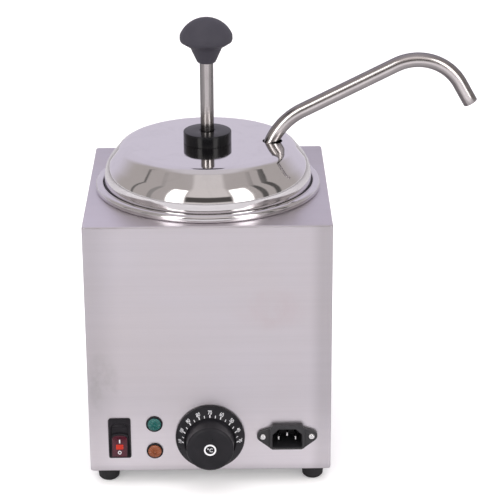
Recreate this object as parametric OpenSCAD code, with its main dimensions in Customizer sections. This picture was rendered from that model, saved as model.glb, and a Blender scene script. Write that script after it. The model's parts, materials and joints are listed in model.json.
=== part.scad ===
// Heated sauce dispenser: square water-bath warmer with a lift-out jar,
// a polished lid carrying a push-down piston pump and a bent pouring tube.
// Origin: centre of the footprint on the table. +Z up, front panel faces -Y,
// the pouring tube reaches out towards +X. All lengths in millimetres.

/* [Housing] */
// Width of the square steel housing
body_w = 200; // [198:1:206]
// Depth of the square steel housing
body_d = 200; // [198:1:206]
// Height of the housing without the feet
body_h = 217; // [215:1:225]
// Sheet thickness of the housing and its bottom plate
sheet_t = 1.2; // [1:0.1:1.5]
// Height of the rubber feet
foot_h = 13; // [12:1:15]
// Distance of each foot from the centre planes
foot_pos = 85.5; // [84:0.5:86]

/* [Well and jar] */
// Outer radius of the water well
well_r = 89.8; // [89.8:0.1:90.4]
// Outer radius of the jar's rolled rim
rim_r = 94; // [93:0.5:95]
// Height of the rolled rim above the deck
rim_h = 6.2; // [6:0.1:6.6]
// Depth of the jar below the deck
jar_depth = 134; // [128:1:136]

/* [Lid] */
// Outer radius of the lid's skirt
lid_r = 86.5; // [86.4:0.1:86.6]
// Height of the lid's flat top above the deck
lid_h = 37.8; // [34:0.2:38.4]
// Radius where the flat top turns into the shoulder
lid_flat_r = 65.5; // [64:0.5:66]
// Sheet thickness of the lid
lid_t = 1; // [0.8:0.1:1]
// Radius of the clearance hole around the pouring tube
tube_hole_r = 8.3; // [8:0.1:8.6]

/* [Pump] */
// Radius of the push rod
rod_r = 5.6; // [5:0.1:5.7]
// Outer radius of the black lock collar
collar_r = 20; // [19:0.1:21]
// Height of the lock collar
collar_h = 9.8; // [9:0.1:12]
// Largest radius of the push knob
knob_r = 21.7; // [20.5:0.1:22]
// Bore radius of the pump cylinder
bore_r = 14; // [14:0.1:14]
// Number of coils in the return spring
spring_turns = 10; // [8:1:11]

/* [Pouring tube] */
// Outer radius of the pouring tube
tube_r = 6.1; // [5.3:0.1:6.1]
// Inner radius of the pouring tube
tube_in = 4.4; // [4:0.1:4.4]
// Distance of the rising tube from the pump axis
tube_x = 48.9; // [47:0.1:52]
// Bend radius of the lower bend
bend1_r = 53.8; // [50:0.1:57]
// Angle of the lower bend in degrees
bend1_a = 63.5; // [60:0.1:66]
// Straight length between the bends
tube_len = 85.9; // [80:0.1:95]
// Bend radius of the upper bend
bend2_r = 40.6; // [38:0.5:46]
// Angle of the upper bend in degrees
bend2_a = 87; // [80:1:92]
// Straight length at the outlet
tube_end = 18.8; // [14:0.1:24]

/* [Front controls] */
// Height of the thermostat dial's centre above the table
dial_z = 44.1; // [43:0.1:46]
// Outer radius of the dial's skirt
dial_r = 28.6; // [27:0.1:29]
// Sideways position of the power switch
switch_x = -74.9; // [-76:0.1:-73]
// Height of the power switch's centre
switch_z = 43.6; // [42:0.1:46]
// Sideways position of the two lamps
lamp_x = -46; // [-47:0.1:-45]
// Height of the green lamp
lamp_green_z = 56.2; // [55:0.1:58]
// Height of the amber lamp
lamp_amber_z = 31.6; // [30:0.1:33]
// Sideways position of the mains inlet
inlet_x = 63.6; // [62:0.1:65]
// Height of the mains inlet's centre
inlet_z = 44.9; // [43:0.1:46]

/* [Hidden] */
$fn = 72;

// Reference levels and faces
base_z = foot_h;                  // underside of the housing
deck_z = foot_h + body_h;
front_y = -body_d / 2;            // outside of the front panel
inside_y = front_y + sheet_t;     // inside of the front panel
lid_top_z = deck_z + lid_h;
lid_under_z = lid_top_z - lid_t;  // underside of the lid's flat top
lid_rim_z = deck_z + 5.3;         // lower edge of the lid's skirt

// ---------- helpers ----------
// range reaching `half` to either side of `middle`
function span(middle, half) = [middle - half, middle + half];
function arc(x, y, radius, from, to, steps) = [
  for (i = [0:steps])
    let (angle = from + (to - from) * i / steps)
      [x + radius * cos(angle), y + radius * sin(angle)]
];

// In these modules a size written as a pair is [from, to] along its axis.
module box(x, y, z)
  translate([x[0], y[0], z[0]]) cube([x[1] - x[0], y[1] - y[0], z[1] - z[0]]);
module z_cylinder(z, radius) translate([0, 0, z[0]]) cylinder(h = z[1] - z[0], r = radius);
module y_cylinder(x, z, y, radius)
  translate([x, y[0], z]) rotate([-90, 0, 0]) cylinder(h = y[1] - y[0], r = radius);
// cylinder along +X from the Z axis out to the pouring tube's axis
module cross_cylinder(z, radius)
  translate([0, 0, z]) rotate([0, 90, 0]) cylinder(h = tube_x, r = radius);
// prism along Y; the outline is (x, z)
module y_prism(y, outline)
  translate([0, y[1], 0]) rotate([90, 0, 0]) linear_extrude(y[1] - y[0]) polygon(outline);
// turned shape on the Z axis; the profile is (radius, z)
module revolve(profile) rotate_extrude() polygon(profile);
// turned shape on the front panel; the profile is (radius, distance out from the panel)
module front_revolve(x, z, profile)
  translate([x, front_y, z]) rotate([90, 0, 0]) revolve(profile);
module at_each(points) for (p = points) translate([p[0], p[1], 0]) children();

module hex_nut(height, across_flats, hole_r) difference() {
  cylinder(h = height, r = across_flats / 2 / cos(30), $fn = 6);
  z_cylinder([-1, height + 1], hole_r);
}
// screw head facing down, with a cross recess
module cross_head(z, radius, slot_half, slot_reach, slot_depth) difference() {
  z_cylinder(z, radius);
  for (half = [[slot_half, slot_reach], [slot_reach, slot_half]])
    box(span(0, half[0]), span(0, half[1]), [z[0] - 1, z[0] + slot_depth]);
}
// wire run through a list of points, with rounded corners
wire_r = 1.4;
module wire(points, radius = wire_r) {
  for (i = [0:len(points) - 2]) {
    step = points[i + 1] - points[i];
    length = norm(step);
    translate(points[i])
      rotate([0, acos(step[2] / length), atan2(step[1], step[0])])
        cylinder(h = length, r = radius, $fn = 24);
    if (i > 0) translate(points[i]) sphere(r = radius + 0.2, $fn = 24);
  }
}

// ---------- housing ----------
inner_x = body_w / 2 - sheet_t;
inner_y = body_d / 2 - sheet_t;
lip = 20;                         // width of the shell's inturned bottom lip
plate_gap = 0.3;
feet = [for (x = [-1, 1], y = [-1, 1]) [x * foot_pos, y * foot_pos]];
plate_screw_pos = 88.8;
plate_screws = plate_screw_pos * [[1, 0], [-1, 0], [0, 1], [0, -1]];
foot_hole_r = 2.1;
plate_hole_r = 1.8;
foot_seat_z = 5.2;                // where the screw head bears inside the foot
lip_top_z = base_z + 2 * sheet_t;
earth_at = [20, -20];
thermostat_screw_x = 14;          // either side of the dial's axis
inlet_screw_x = 20;               // either side of the inlet's centre

module base_holes(z) {
  at_each(feet) z_cylinder(z, foot_hole_r);
  at_each(plate_screws) z_cylinder(z, plate_hole_r);
}

module outer_shell() color("silver") difference() {
  cut_y = [front_y - 1, inside_y + 1];
  box(span(0, body_w / 2), span(0, body_d / 2), [base_z, deck_z]);
  // inside, opening within the lip, recess for the bottom plate
  box(span(0, inner_x), span(0, inner_y), [lip_top_z, deck_z - sheet_t]);
  box(span(0, inner_x - lip), span(0, inner_y - lip), [base_z - 1, base_z + 3 * sheet_t]);
  box(span(0, inner_x), span(0, inner_y), [base_z - 1, base_z + sheet_t]);
  // well opening in the deck
  z_cylinder([deck_z - 10, deck_z + 10], well_r - 1);
  base_holes([base_z, base_z + 6]);
  // front panel cut-outs: switch, lamps, thermostat, inlet
  box(span(switch_x, 8), cut_y, span(switch_z, 16));
  for (z = lamp_heights) y_cylinder(lamp_x, z, cut_y, 6);
  y_cylinder(0, dial_z, cut_y, 5);
  for (side = [-1, 1]) y_cylinder(side * thermostat_screw_x, dial_z, cut_y, 2.1);
  translate([inlet_x, 0, inlet_z]) {
    y_prism(cut_y, bevelled(14, -10.5, 6.3, 9.9, 12.2));
    for (side = [-1, 1]) y_cylinder(side * inlet_screw_x, 0, cut_y, 1.6);
  }
}

module bottom_plate() color("gainsboro") difference() {
  cut_z = [base_z - 1, base_z + 5];
  box(span(0, inner_x - plate_gap), span(0, inner_y - plate_gap), [base_z, base_z + sheet_t]);
  base_holes(cut_z);
  at_each([earth_at]) z_cylinder(cut_z, 2.1);
  // two columns of seven slots
  for (row = [-3:3], side = [-1, 1]) box(span(side * 45, 16), span(row * 12 + 24, 2), cut_z);
}

module bottom_plate_screws() color("silver") at_each(plate_screws) {
  cross_head([base_z - 2, base_z], 3.2, slot_half = 0.4, slot_reach = 2, slot_depth = 1);
  z_cylinder([base_z - 0.5, base_z + 7.5], 1.75);
}

module rubber_feet() color([0.1, 0.1, 0.11]) at_each(feet) revolve(concat(
  [[foot_hole_r, foot_seat_z], [4.6, foot_seat_z], [4.6, 0]],
  arc(5.8, 3, 3, -90, -15, 5),
  [[9.4, foot_h - 4.5], [9.4, foot_h], [foot_hole_r, foot_h]]));

module foot_screws() color("silver") at_each(feet) {
  cross_head([2.8, foot_seat_z], 3.8, slot_half = 0.5, slot_reach = 2.4, slot_depth = 1.2);
  z_cylinder([5, lip_top_z + 5], 2);
}

module foot_nuts() color("silver") at_each(feet)
  translate([0, 0, lip_top_z]) hex_nut(3.2, 7, 2.05);

// ---------- heated well ----------
well_z = 88;                      // underside of the well's floor
well_t = 1;
well_corner = 8;                  // outer radius of the floor's corner
heater_z = well_z - 8;
clamp_z = heater_z - 4;
clamp_nut_h = 5;
heater_stud = [20, 40];           // x is used on both sides
heater_stud_z = 72;

// pressed well with its clamp stud underneath
module water_well() color([0.78, 0.77, 0.79]) revolve(concat(
  [[0, 66], [3, 66], [3, well_z], [well_r - well_corner, well_z]],
  arc(well_r - well_corner, well_z + well_corner, well_corner, -90, 0, 5),
  [[well_r, deck_z - sheet_t - well_t], [96, deck_z - sheet_t - well_t],
   [96, deck_z - sheet_t], [well_r - well_t, deck_z - sheet_t]],
  arc(well_r - well_corner, well_z + well_corner, well_corner - well_t, 0, -90, 5),
  [[0, well_z + well_t]]));

module insulation_wrap() color([0.85, 0.82, 0.7]) difference() {
  z_cylinder([100, 222], 97.6);
  z_cylinder([99, 223], well_r + 0.6);
}

module heater_plate() color([0.6, 0.6, 0.62]) difference() {
  union() {
    z_cylinder([heater_z, well_z], 62);
    for (side = [-1, 1])
      translate([side * heater_stud[0], heater_stud[1], heater_stud_z]) cylinder(h = 9, r = 2.5);
  }
  z_cylinder([heater_z - 1, well_z + 1], 3.6);
}

module heater_clamp_bar() color("gray") difference() {
  box(span(0, 55), span(0, 8), [clamp_z, heater_z]);
  z_cylinder([clamp_z - 1, heater_z + 1], 3.1);
}

module heater_clamp_nut() color("silver")
  translate([0, 0, clamp_z - clamp_nut_h]) hex_nut(clamp_nut_h, 10, 3.05);

module thermal_cutout() color([0.15, 0.15, 0.16]) translate([-38, 34, 0]) {
  z_cylinder([heater_z - 6, heater_z], 8);
  for (side = [-1, 1]) box(span(side * 4, 0.4), [-2, 2], [heater_z - 12, heater_z - 5]);
}

// ---------- thermostat and dial ----------
thermostat_back_y = inside_y + 26;
thermostat_tab_x = 8;             // either side of the dial's axis
thermostat_tab_y = inside_y + 35; // rear end of the terminal tabs

module thermostat_body() color([0.88, 0.86, 0.8]) difference() {
  union() {
    box(span(0, 20), [inside_y, thermostat_back_y], span(dial_z, 18));
    for (side = [-1, 1])
      box(span(side * thermostat_tab_x, 3.15),
        [thermostat_back_y - 1, thermostat_tab_y], span(dial_z, 0.4));
  }
  y_cylinder(0, dial_z, [inside_y - 1, inside_y + 10], 3.05);
  for (side = [-1, 1])
    y_cylinder(side * thermostat_screw_x, dial_z, [inside_y - 1, inside_y + 9], 2.05);
}

module thermostat_screws() color("silver")
  for (side = [-1, 1]) {
    y_cylinder(side * thermostat_screw_x, dial_z, [front_y - 2, front_y], 3.4);
    y_cylinder(side * thermostat_screw_x, dial_z, [front_y - 1, inside_y + 8], 2);
  }

// sensing bulb held under the well, with its capillary down to the thermostat
module capillary_bulb() color([0.75, 0.45, 0.25]) {
  bulb_y = -65.3;
  bulb_z = 84.8;
  translate([-30, bulb_y, bulb_z]) rotate([0, 90, 0]) cylinder(h = 60, r = 3);
  wire([[24, bulb_y, bulb_z], [36, bulb_y, bulb_z], [36, bulb_y, 70],
    [12, -68, 60], [12, thermostat_back_y, 60]], radius = 1);
}

// shaft with a flat on top of its outer end; also cuts the dial's bore, with a gap
module flatted_shaft(y, flat_end_y, gap = 0) difference() {
  y_cylinder(0, dial_z, y, 3 + gap);
  box(span(0, 4), [front_y - 19, flat_end_y], [dial_z + 2.3 + gap, dial_z + 4]);
}

module thermostat_shaft() color("silver")
  flatted_shaft([front_y - 18, inside_y + 9.8], front_y - 5);

module dial_knob() color([0.09, 0.09, 0.1]) difference() {
  front_revolve(0, dial_z, [
    [0, 24.2], [5.25, 24.2], [5.25, 24.8],                     // recess for the cap
    [17.2, 24.8], [18.6, 24.1], [19.3, 22.8], [19.7, 8.2],     // grip
    [20.9, 8.2], [20.9, 9.2], [21.6, 9.4],                     // skirt, outside
    [dial_r - 0.5, 3.1], [dial_r, 2.2], [dial_r, 0.8],
    [dial_r - 2, 0.8], [dial_r - 3.4, 2.6],                    // skirt, underside
    [17.5, 6.4], [17.2, 21.6], [7, 21.6], [7, 4], [0, 4]]);    // hollow and hub
  flatted_shaft([front_y - 18.2, front_y - 1], front_y - 5.2, gap = 0.03);
}

module dial_cap() color("white")
  front_revolve(0, dial_z, [[0, 24.2], [5.2, 24.2], [5.2, 24.9], [5.0, 25.1], [0, 25.1]]);

// ---------- power switch ----------
terminal_offset = 8;              // outer terminals above and below the switch's centre
terminal_heights = switch_z + terminal_offset * [-1, 0, 1][1] + 0 == switch_z
  ? [switch_z - terminal_offset, switch_z, switch_z + terminal_offset] : [];
terminal_y = front_y + 29;        // rear end of the terminals
pivot_y = front_y + 1;            // the rocker's pivot axis

module switch_housing() color([0.08, 0.08, 0.09]) difference() {
  union() {
    box(span(switch_x, 9.4), [front_y - 2, front_y], span(switch_z, 18.1));
    box(span(switch_x, 7.8), [front_y - 1, front_y + 20], span(switch_z, 15.8));
  }
  box(span(switch_x, 6.5), [front_y - 3, front_y + 14], span(switch_z, 14.7));
  translate([switch_x - 7.3, pivot_y, switch_z]) rotate([0, 90, 0]) cylinder(h = 14.6, r = 1.05);
  for (z = terminal_heights) box(span(switch_x, 2.45), [front_y + 13, front_y + 21], span(z, 0.45));
}

module switch_terminals() color([0.8, 0.68, 0.35])
  for (z = terminal_heights) box(span(switch_x, 2.4), [front_y + 13, terminal_y], span(z, 0.4));

// rocker in its resting tilt, lower half standing proud
module at_rocker() translate([switch_x, pivot_y, switch_z]) rotate([-10, 0, 0]) children();
// outline (y, z) drawn out to a width and rounded about the pivot
module rocker_blank(width, outline) intersection() {
  translate([-width / 2, 0, 0]) rotate([90, 0, 90]) linear_extrude(width) polygon(outline);
  rotate([0, 90, 0]) translate([0, 0, -20]) cylinder(h = 40, r = 14.4);
}
module rocker() color([0.07, 0.07, 0.08]) at_rocker() {
  difference() {
    rocker_blank(12.6, [[-4.6, -16], [-2.4, 0], [-4.6, 16], [3, 16], [6, 4], [6, -4], [3, -16]]);
    box(span(0, 5.6), [-8, -1.05], [-20, 2.6]);  // recess for the lens
  }
  translate([-7.2, 0, 0]) rotate([0, 90, 0]) cylinder(h = 14.4, r = 1);
}
module rocker_lens() color([0.7, 0.05, 0.06]) at_rocker()
  rocker_blank(11.1, [[-5.1, -16], [-3.2, -1], [-2.9, 2.55], [-1.1, 2.55], [-1.1, -16]]);

// ---------- lamps ----------
lamp_heights = [lamp_green_z, lamp_amber_z];

module lamp_holder(z) color([0.12, 0.13, 0.13]) front_revolve(lamp_x, z, [
  [5.2, -14], [5.2, 0.4], [5.7, 0.4], [5.7, 1.4], [6.5, 1.4], [6.9, 1],
  [6.9, 0], [5.9, 0], [5.9, -16], [0, -16], [0, -14]]);
module lamp_lens(z) front_revolve(lamp_x, z, [
  [0, -2.6], [4.2, -2.6], [4.2, -4], [5.15, -4], [5.15, 0.4],
  [5.6, 0.4], [5.6, 1.7], [4.9, 2.3], [3.2, 2.8], [0, 3.1]]);
module green_lamp_holder() lamp_holder(lamp_green_z);
module green_lamp_lens() color([0.1, 0.55, 0.42]) lamp_lens(lamp_green_z);
module amber_lamp_holder() lamp_holder(lamp_amber_z);
module amber_lamp_lens() color([0.8, 0.4, 0.15]) lamp_lens(lamp_amber_z);
module lamp_bulbs() color([0.9, 0.9, 0.92])
  for (z = lamp_heights)
    front_revolve(lamp_x, z, [[0, -14], [3, -14], [3, -6.4], [2.2, -5], [0, -4.4]]);

// ---------- mains inlet ----------
// Pins: x and z from the inlet's centre, reach out of the front panel
live_pin = [7, -3, 0.5];
neutral_pin = [-7, -3, 0.5];
earth_pin = [0, 1, 1.5];
pins = [live_pin, neutral_pin, earth_pin];
pin_back_y = front_y + 32;
inlet_flange = [
  [-23.5, 3.6], [-24.6, 1.9], [-25, 0], [-24.6, -1.9], [-23.5, -3.6], [-12.6, -12.4],
  [12.6, -12.4], [23.5, -3.6], [24.6, -1.9], [25, 0], [24.6, 1.9], [23.5, 3.6],
  [14, 7.4], [-14, 7.4]];

// rectangle with its two upper corners cut off
function bevelled(half_w, bottom, shoulder, top, top_half_w) = [
  [-half_w, bottom], [half_w, bottom], [half_w, shoulder],
  [top_half_w, top], [-top_half_w, top], [-half_w, shoulder]];

module inlet_housing() color([0.08, 0.08, 0.09]) translate([inlet_x, 0, inlet_z]) difference() {
  union() {
    // flange with two rounded ears, the socket's shroud 2 mm prouder, and the body behind
    y_prism([front_y - 3, front_y], inlet_flange);
    y_prism([front_y - 5, front_y], bevelled(14.4, -10.6, 6.6, 10.4, 12.4));
    y_prism([front_y - 1, front_y + 24], bevelled(13.6, -10.2, 6.1, 9.6, 12));
  }
  translate([0, 0, -1.1]) y_prism([front_y - 20, front_y + 20], bevelled(12, -8, 3.2, 8, 7));
  for (p = pins) box(span(p[0], 1.05), [front_y + 19, front_y + 25], span(p[1], 2.05));
  for (side = [-1, 1]) y_cylinder(side * inlet_screw_x, 0, [front_y - 4, front_y + 1], 1.6);
}
module inlet_pins() color([0.85, 0.85, 0.86]) translate([inlet_x, 0, inlet_z])
  for (p = pins) box(span(p[0], 1), [front_y - p[2], pin_back_y], span(p[1], 2));
module inlet_screws() color([0.9, 0.9, 0.9])
  for (x = span(inlet_x, inlet_screw_x)) {
    front_revolve(x, inlet_z, [[0, 3], [2.6, 3], [2.6, 3.8], [2, 4.5], [1.1, 4.8], [0, 4.9]]);
    y_cylinder(x, inlet_z, [front_y - 3.5, front_y + 7], 1.5);
  }
module inlet_nuts() color("silver")
  for (x = span(inlet_x, inlet_screw_x))
    translate([x, inside_y, inlet_z]) rotate([-90, 0, 0]) hex_nut(2.4, 5.5, 1.55);

// ---------- wiring ----------
module terminal_block() color([0.93, 0.92, 0.88]) difference() {
  floor_z = base_z + sheet_t;
  box(span(0, 20), [52, 70], [floor_z, floor_z + 16]);
  for (x = [-12, 0, 12]) translate([x, 61, base_z + 8]) cylinder(h = 12, r = 3);
}

module live_wires() color([0.45, 0.25, 0.12]) {
  pin_x = inlet_x + live_pin[0];
  pin_z = inlet_z + live_pin[1];
  low_z = switch_z - terminal_offset;
  high_z = switch_z + terminal_offset;
  tab_x = thermostat_tab_x;
  // inlet to switch
  wire([[pin_x, pin_back_y, pin_z], [pin_x, -50, pin_z], [pin_x, -50, 24],
    [switch_x, -50, 24], [switch_x, -50, low_z], [switch_x, terminal_y, low_z]]);
  // switch to thermostat
  wire([[switch_x, terminal_y, high_z], [switch_x, -56, high_z], [-tab_x, -56, high_z],
    [-tab_x, -56, dial_z], [-tab_x, thermostat_tab_y, dial_z]]);
  // thermostat to heater
  wire([[tab_x, thermostat_tab_y, dial_z], [tab_x, -46, dial_z], [tab_x, -30, 34],
    [tab_x, 40, 34], [heater_stud[0], heater_stud[1], 34],
    [heater_stud[0], heater_stud[1], heater_stud_z]]);
}

// inlet to heater
module neutral_wires() color([0.15, 0.3, 0.65]) {
  pin_x = inlet_x + neutral_pin[0];
  pin_z = inlet_z + neutral_pin[1];
  wire([[pin_x, pin_back_y, pin_z], [pin_x, -38, pin_z], [pin_x, -38, 20],
    [-heater_stud[0], heater_stud[1], 20], [-heater_stud[0], heater_stud[1], heater_stud_z]]);
}

module earth_wire() color([0.35, 0.65, 0.2]) {
  pin_z = inlet_z + earth_pin[1];
  wire([[inlet_x, pin_back_y, pin_z], [inlet_x, -44, pin_z],
    [earth_at[0], earth_at[1], 40], [earth_at[0], earth_at[1], base_z + 11]]);
}

module earth_stud() color([0.8, 0.68, 0.35]) at_each([earth_at]) {
  z_cylinder([base_z - 2.2, base_z], 3.6);
  z_cylinder([base_z - 1, base_z + 11], 2);
}

// ---------- jar ----------
jar_r = 84.6;
jar_t = 1;
jar_corner = 11;                  // outer radius of the floor's corner
rim_in_r = 87.2;                  // inside of the rolled rim

module sauce_jar() color([0.8, 0.79, 0.81]) {
  jar_z = deck_z - jar_depth;
  corner_r = jar_r - jar_corner;
  revolve(concat(
    [[jar_r, deck_z], [rim_r - 1.6, deck_z]],
    arc(rim_r - 1.6, deck_z + 1.6, 1.6, -90, 0, 4),
    arc(rim_r - 3.2, deck_z + rim_h - 3.2, 3.2, 0, 90, 7),
    arc(rim_in_r + 2.4, deck_z + rim_h - 2.4, 2.4, 90, 180, 5),
    [[rim_in_r, deck_z + jar_t], [jar_r - jar_t, deck_z + jar_t]],
    arc(corner_r, jar_z + jar_corner, jar_corner - jar_t, 0, -90, 6),
    [[0, jar_z + jar_t], [0, jar_z]],
    arc(corner_r, jar_z + jar_corner, jar_corner, -90, 0, 6)));
}

module lid_gasket() color([0.07, 0.07, 0.08]) revolve([
  [84, deck_z + jar_t], [rim_in_r - 0.05, deck_z + jar_t], [rim_in_r - 0.05, deck_z + 4.6],
  [86.9, lid_rim_z], [84, lid_rim_z]]);

// ---------- lid ----------
slope = 51;                       // angle of the shoulder in degrees
fillet_r = 11;                    // between flat top and shoulder
fillet_z = lid_top_z - fillet_r;
curve_r = 24;                     // between shoulder and upright edge
curve_x = lid_r - curve_r;
shoulder_x = lid_flat_r + fillet_r * sin(slope);
shoulder_z = fillet_z + fillet_r * cos(slope);
curve_z = shoulder_z - (curve_x + curve_r * sin(slope) - shoulder_x) * tan(slope)
  - curve_r * cos(slope);
neck_r = 15;                      // pump cylinder where it passes through the lid

module pump_lid() color([0.85, 0.84, 0.87]) difference() {
  revolve(concat(
    [[neck_r + 0.2, lid_top_z]],
    arc(lid_flat_r, fillet_z, fillet_r, 90, 90 - slope, 7),
    arc(curve_x, curve_z, curve_r, 90 - slope, 0, 6),
    [[lid_r, lid_rim_z], [lid_r - lid_t, lid_rim_z]],
    arc(curve_x, curve_z, curve_r - lid_t, 0, 90 - slope, 6),
    arc(lid_flat_r, fillet_z, fillet_r - lid_t, 90 - slope, 90, 7),
    [[neck_r + 0.2, lid_under_z]]));
  translate([tube_x + 5.2, 0, lid_under_z - 5]) cylinder(h = 10, r = tube_hole_r);
}

// ---------- pump ----------
flange_r = 21;
flange_z = lid_under_z - 0.8;     // top of the cylinder's flange, below the gasket
neck_top_z = lid_top_z + 6.6;
bush_top_z = lid_top_z + 7.7;
rod_hole_r = rod_r + 0.06;
barrel_r = 17;
barrel_z = 150;                   // lower end of the cylinder
valve_z = 124;                    // underside of the valve block
cap_top_z = valve_z + 4;
passage_z = 141;                  // crossing passage to the riser
riser_top_z = 172;
ball_r = 4.7;
seat_r = 3.3;
seat_rise = sqrt(ball_r * ball_r - seat_r * seat_r);
chamber_r = 5.3;                  // space around each ball
inlet_seat_z = 120;
outlet_seat_z = 147;

module collar_gasket() color([0.1, 0.1, 0.1]) difference() {
  z_cylinder([flange_z, lid_under_z], flange_r);
  z_cylinder([flange_z - 1, flange_z + 2], neck_r + 0.1);
}

module lock_collar() color([0.05, 0.05, 0.055]) {
  top_z = lid_top_z + collar_h;
  revolve([
    [neck_r + 0.06, lid_top_z], [collar_r - 0.5, lid_top_z], [collar_r, lid_top_z + 0.5],
    [collar_r, top_z - 0.9], [collar_r - 0.3, top_z - 0.3], [collar_r - 0.9, top_z],
    [rod_hole_r, top_z], [rod_hole_r, bush_top_z], [neck_r + 0.06, bush_top_z]]);
}

module guide_bush() color([0.93, 0.93, 0.9]) revolve([
  [rod_hole_r, lid_top_z - 2], [bore_r - 0.05, lid_top_z - 2], [bore_r - 0.05, neck_top_z],
  [14.8, neck_top_z], [14.8, bush_top_z], [rod_hole_r, bush_top_z]]);

module pump_cylinder() color([0.9, 0.9, 0.88]) revolve([
  [bore_r, barrel_z], [barrel_r, barrel_z], [barrel_r, flange_z - 4], [flange_r, flange_z - 3],
  [flange_r, flange_z], [neck_r, flange_z], [neck_r, neck_top_z], [bore_r, neck_top_z]]);

// block at the foot of the pump: socket for the cylinder, crossing passages,
// riser for the pouring tube
module valve_body() color([0.9, 0.9, 0.88]) difference() {
  union() {
    z_cylinder([valve_z, 160], 19.5);
    cross_cylinder(passage_z, 7);
    translate([tube_x, 0, 0]) z_cylinder([133, riser_top_z], 9);
  }
  z_cylinder([barrel_z, barrel_z + 20], barrel_r + 0.03);
  z_cylinder([130, 160], 4);
  z_cylinder([valve_z - 1, 132.6], chamber_r);
  cross_cylinder(passage_z, 3.2);
  translate([tube_x, 0, 0]) {
    z_cylinder([137, 157], seat_r);
    z_cylinder([outlet_seat_z, outlet_seat_z + 12], chamber_r);
    z_cylinder([158.5, 178.5], tube_r + 0.05);
  }
  // leaves a spigot for the intake cap
  difference() {
    z_cylinder([valve_z - 1, cap_top_z], 22);
    z_cylinder([valve_z - 2, cap_top_z + 1], 12);
  }
}

// strainer cap under the block; its inner upper edge is the inlet ball's seat
module intake_cap() color([0.9, 0.9, 0.88]) difference() {
  z_cylinder([108, cap_top_z], 15);
  z_cylinder([valve_z, cap_top_z + 1], 12.05);
  z_cylinder([inlet_seat_z, inlet_seat_z + 5], chamber_r);
  z_cylinder([112, 122], seat_r);
  z_cylinder([107, 115], 11);
  for (angle = [0, 90]) rotate([0, 0, angle]) box(span(0, 16), span(0, 4), [107, 112]);
}

module inlet_ball() color("silver")
  translate([0, 0, inlet_seat_z + seat_rise]) sphere(r = ball_r);
module outlet_ball() color("silver")
  translate([tube_x, 0, outlet_seat_z + seat_rise]) sphere(r = ball_r);

// ---------- pouring tube ----------
tube_foot_z = 159;
bend_z = deck_z + 16;             // where the lower bend starts
// The straights overlap the bends, which are slightly thinner, so the joins stay clean.
overlap = 0.5;
bend_thinning = 0.02;

// solid bend starting at the origin going +Z and turning towards +X
module bend(bend_r, angle, radius)
  translate([bend_r, 0, 0]) rotate([90, 0, 180])
    rotate_extrude(angle = angle) translate([bend_r, 0]) circle(r = radius);
// moves children to the far end of such a bend
module past_bend(bend_r, angle)
  translate([bend_r, 0, 0]) rotate([0, angle, 0]) translate([-bend_r, 0, 0]) children();

// riser, lower bend, straight run, upper bend and short outlet, cut square
module tube_run(radius, extra = 0) {
  z_cylinder([tube_foot_z - extra, bend_z + overlap], radius);
  translate([0, 0, bend_z]) {
    bend(bend1_r, bend1_a, radius - bend_thinning);
    past_bend(bend1_r, bend1_a) {
      z_cylinder([-overlap, tube_len + overlap], radius);
      translate([0, 0, tube_len]) {
        bend(bend2_r, bend2_a, radius - bend_thinning);
        past_bend(bend2_r, bend2_a) z_cylinder([-overlap, tube_end + extra], radius);
      }
    }
  }
}
module pouring_tube() color([0.8, 0.79, 0.8]) translate([tube_x, 0, 0]) difference() {
  tube_run(tube_r);
  tube_run(tube_in, extra = 2);
}
module tube_nut() color([0.9, 0.9, 0.88])
  translate([tube_x, 0, riser_top_z]) hex_nut(9, 17, tube_r + 0.05);

// ---------- plunger ----------
knob_z = deck_z + 106.3;          // lower end of the push knob
rod_top_z = knob_z + 14;
dome_z = knob_z + 13.9;           // centre of the knob's domed top
dome_r = 23.5;
piston_z = 224;                   // underside of the piston at rest
piston_top_z = piston_z + 12;
piston_r = 13.9;
groove_r = 10.6;                  // bottom of the seal's groove
rod_end_hole_r = 3.05;

module push_rod() color([0.78, 0.77, 0.78]) revolve([
  [0, 214], [2.6, 214], [3, 214.6], [3, piston_top_z],
  [rod_r, piston_top_z], [rod_r, rod_top_z], [0, rod_top_z]]);

module push_knob() color([0.3, 0.3, 0.33]) difference() {
  edge_a = 22.6;                  // angle at which the dome leaves the edge
  steps = 9;
  revolve(concat(
    [[0, knob_z], [6.9, knob_z], [7.8, knob_z + 0.9], [13.2, knob_z + 12.8],
     [knob_r - 0.6, knob_z + 18.1], [knob_r, knob_z + 19.4]],
    [for (i = [0:steps])
      let (angle = edge_a + (90 - edge_a) * i / steps)
        [i == steps ? 0 : min(knob_r, dome_r * cos(angle)), dome_z + dome_r * sin(angle)]]));
  z_cylinder([knob_z - 1, rod_top_z], rod_r + 0.05);
}

module piston() color([0.9, 0.9, 0.88]) revolve([
  [rod_end_hole_r, piston_z], [piston_r, piston_z], [piston_r, piston_z + 3],
  [groove_r, piston_z + 3], [groove_r, piston_z + 9], [piston_r, piston_z + 9],
  [piston_r, piston_top_z], [rod_end_hole_r, piston_top_z]]);

module piston_seal() color([0.12, 0.12, 0.12]) revolve([
  [groove_r + 0.05, piston_z + 3.1], [13.6, piston_z + 3.1], [13.95, piston_z + 4.4],
  [13.95, piston_z + 7.6], [13.6, piston_z + 8.9], [groove_r + 0.05, piston_z + 8.9]]);

module piston_nut() color("silver")
  translate([0, 0, piston_z - 6]) hex_nut(6, 10, rod_end_hole_r);

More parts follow.
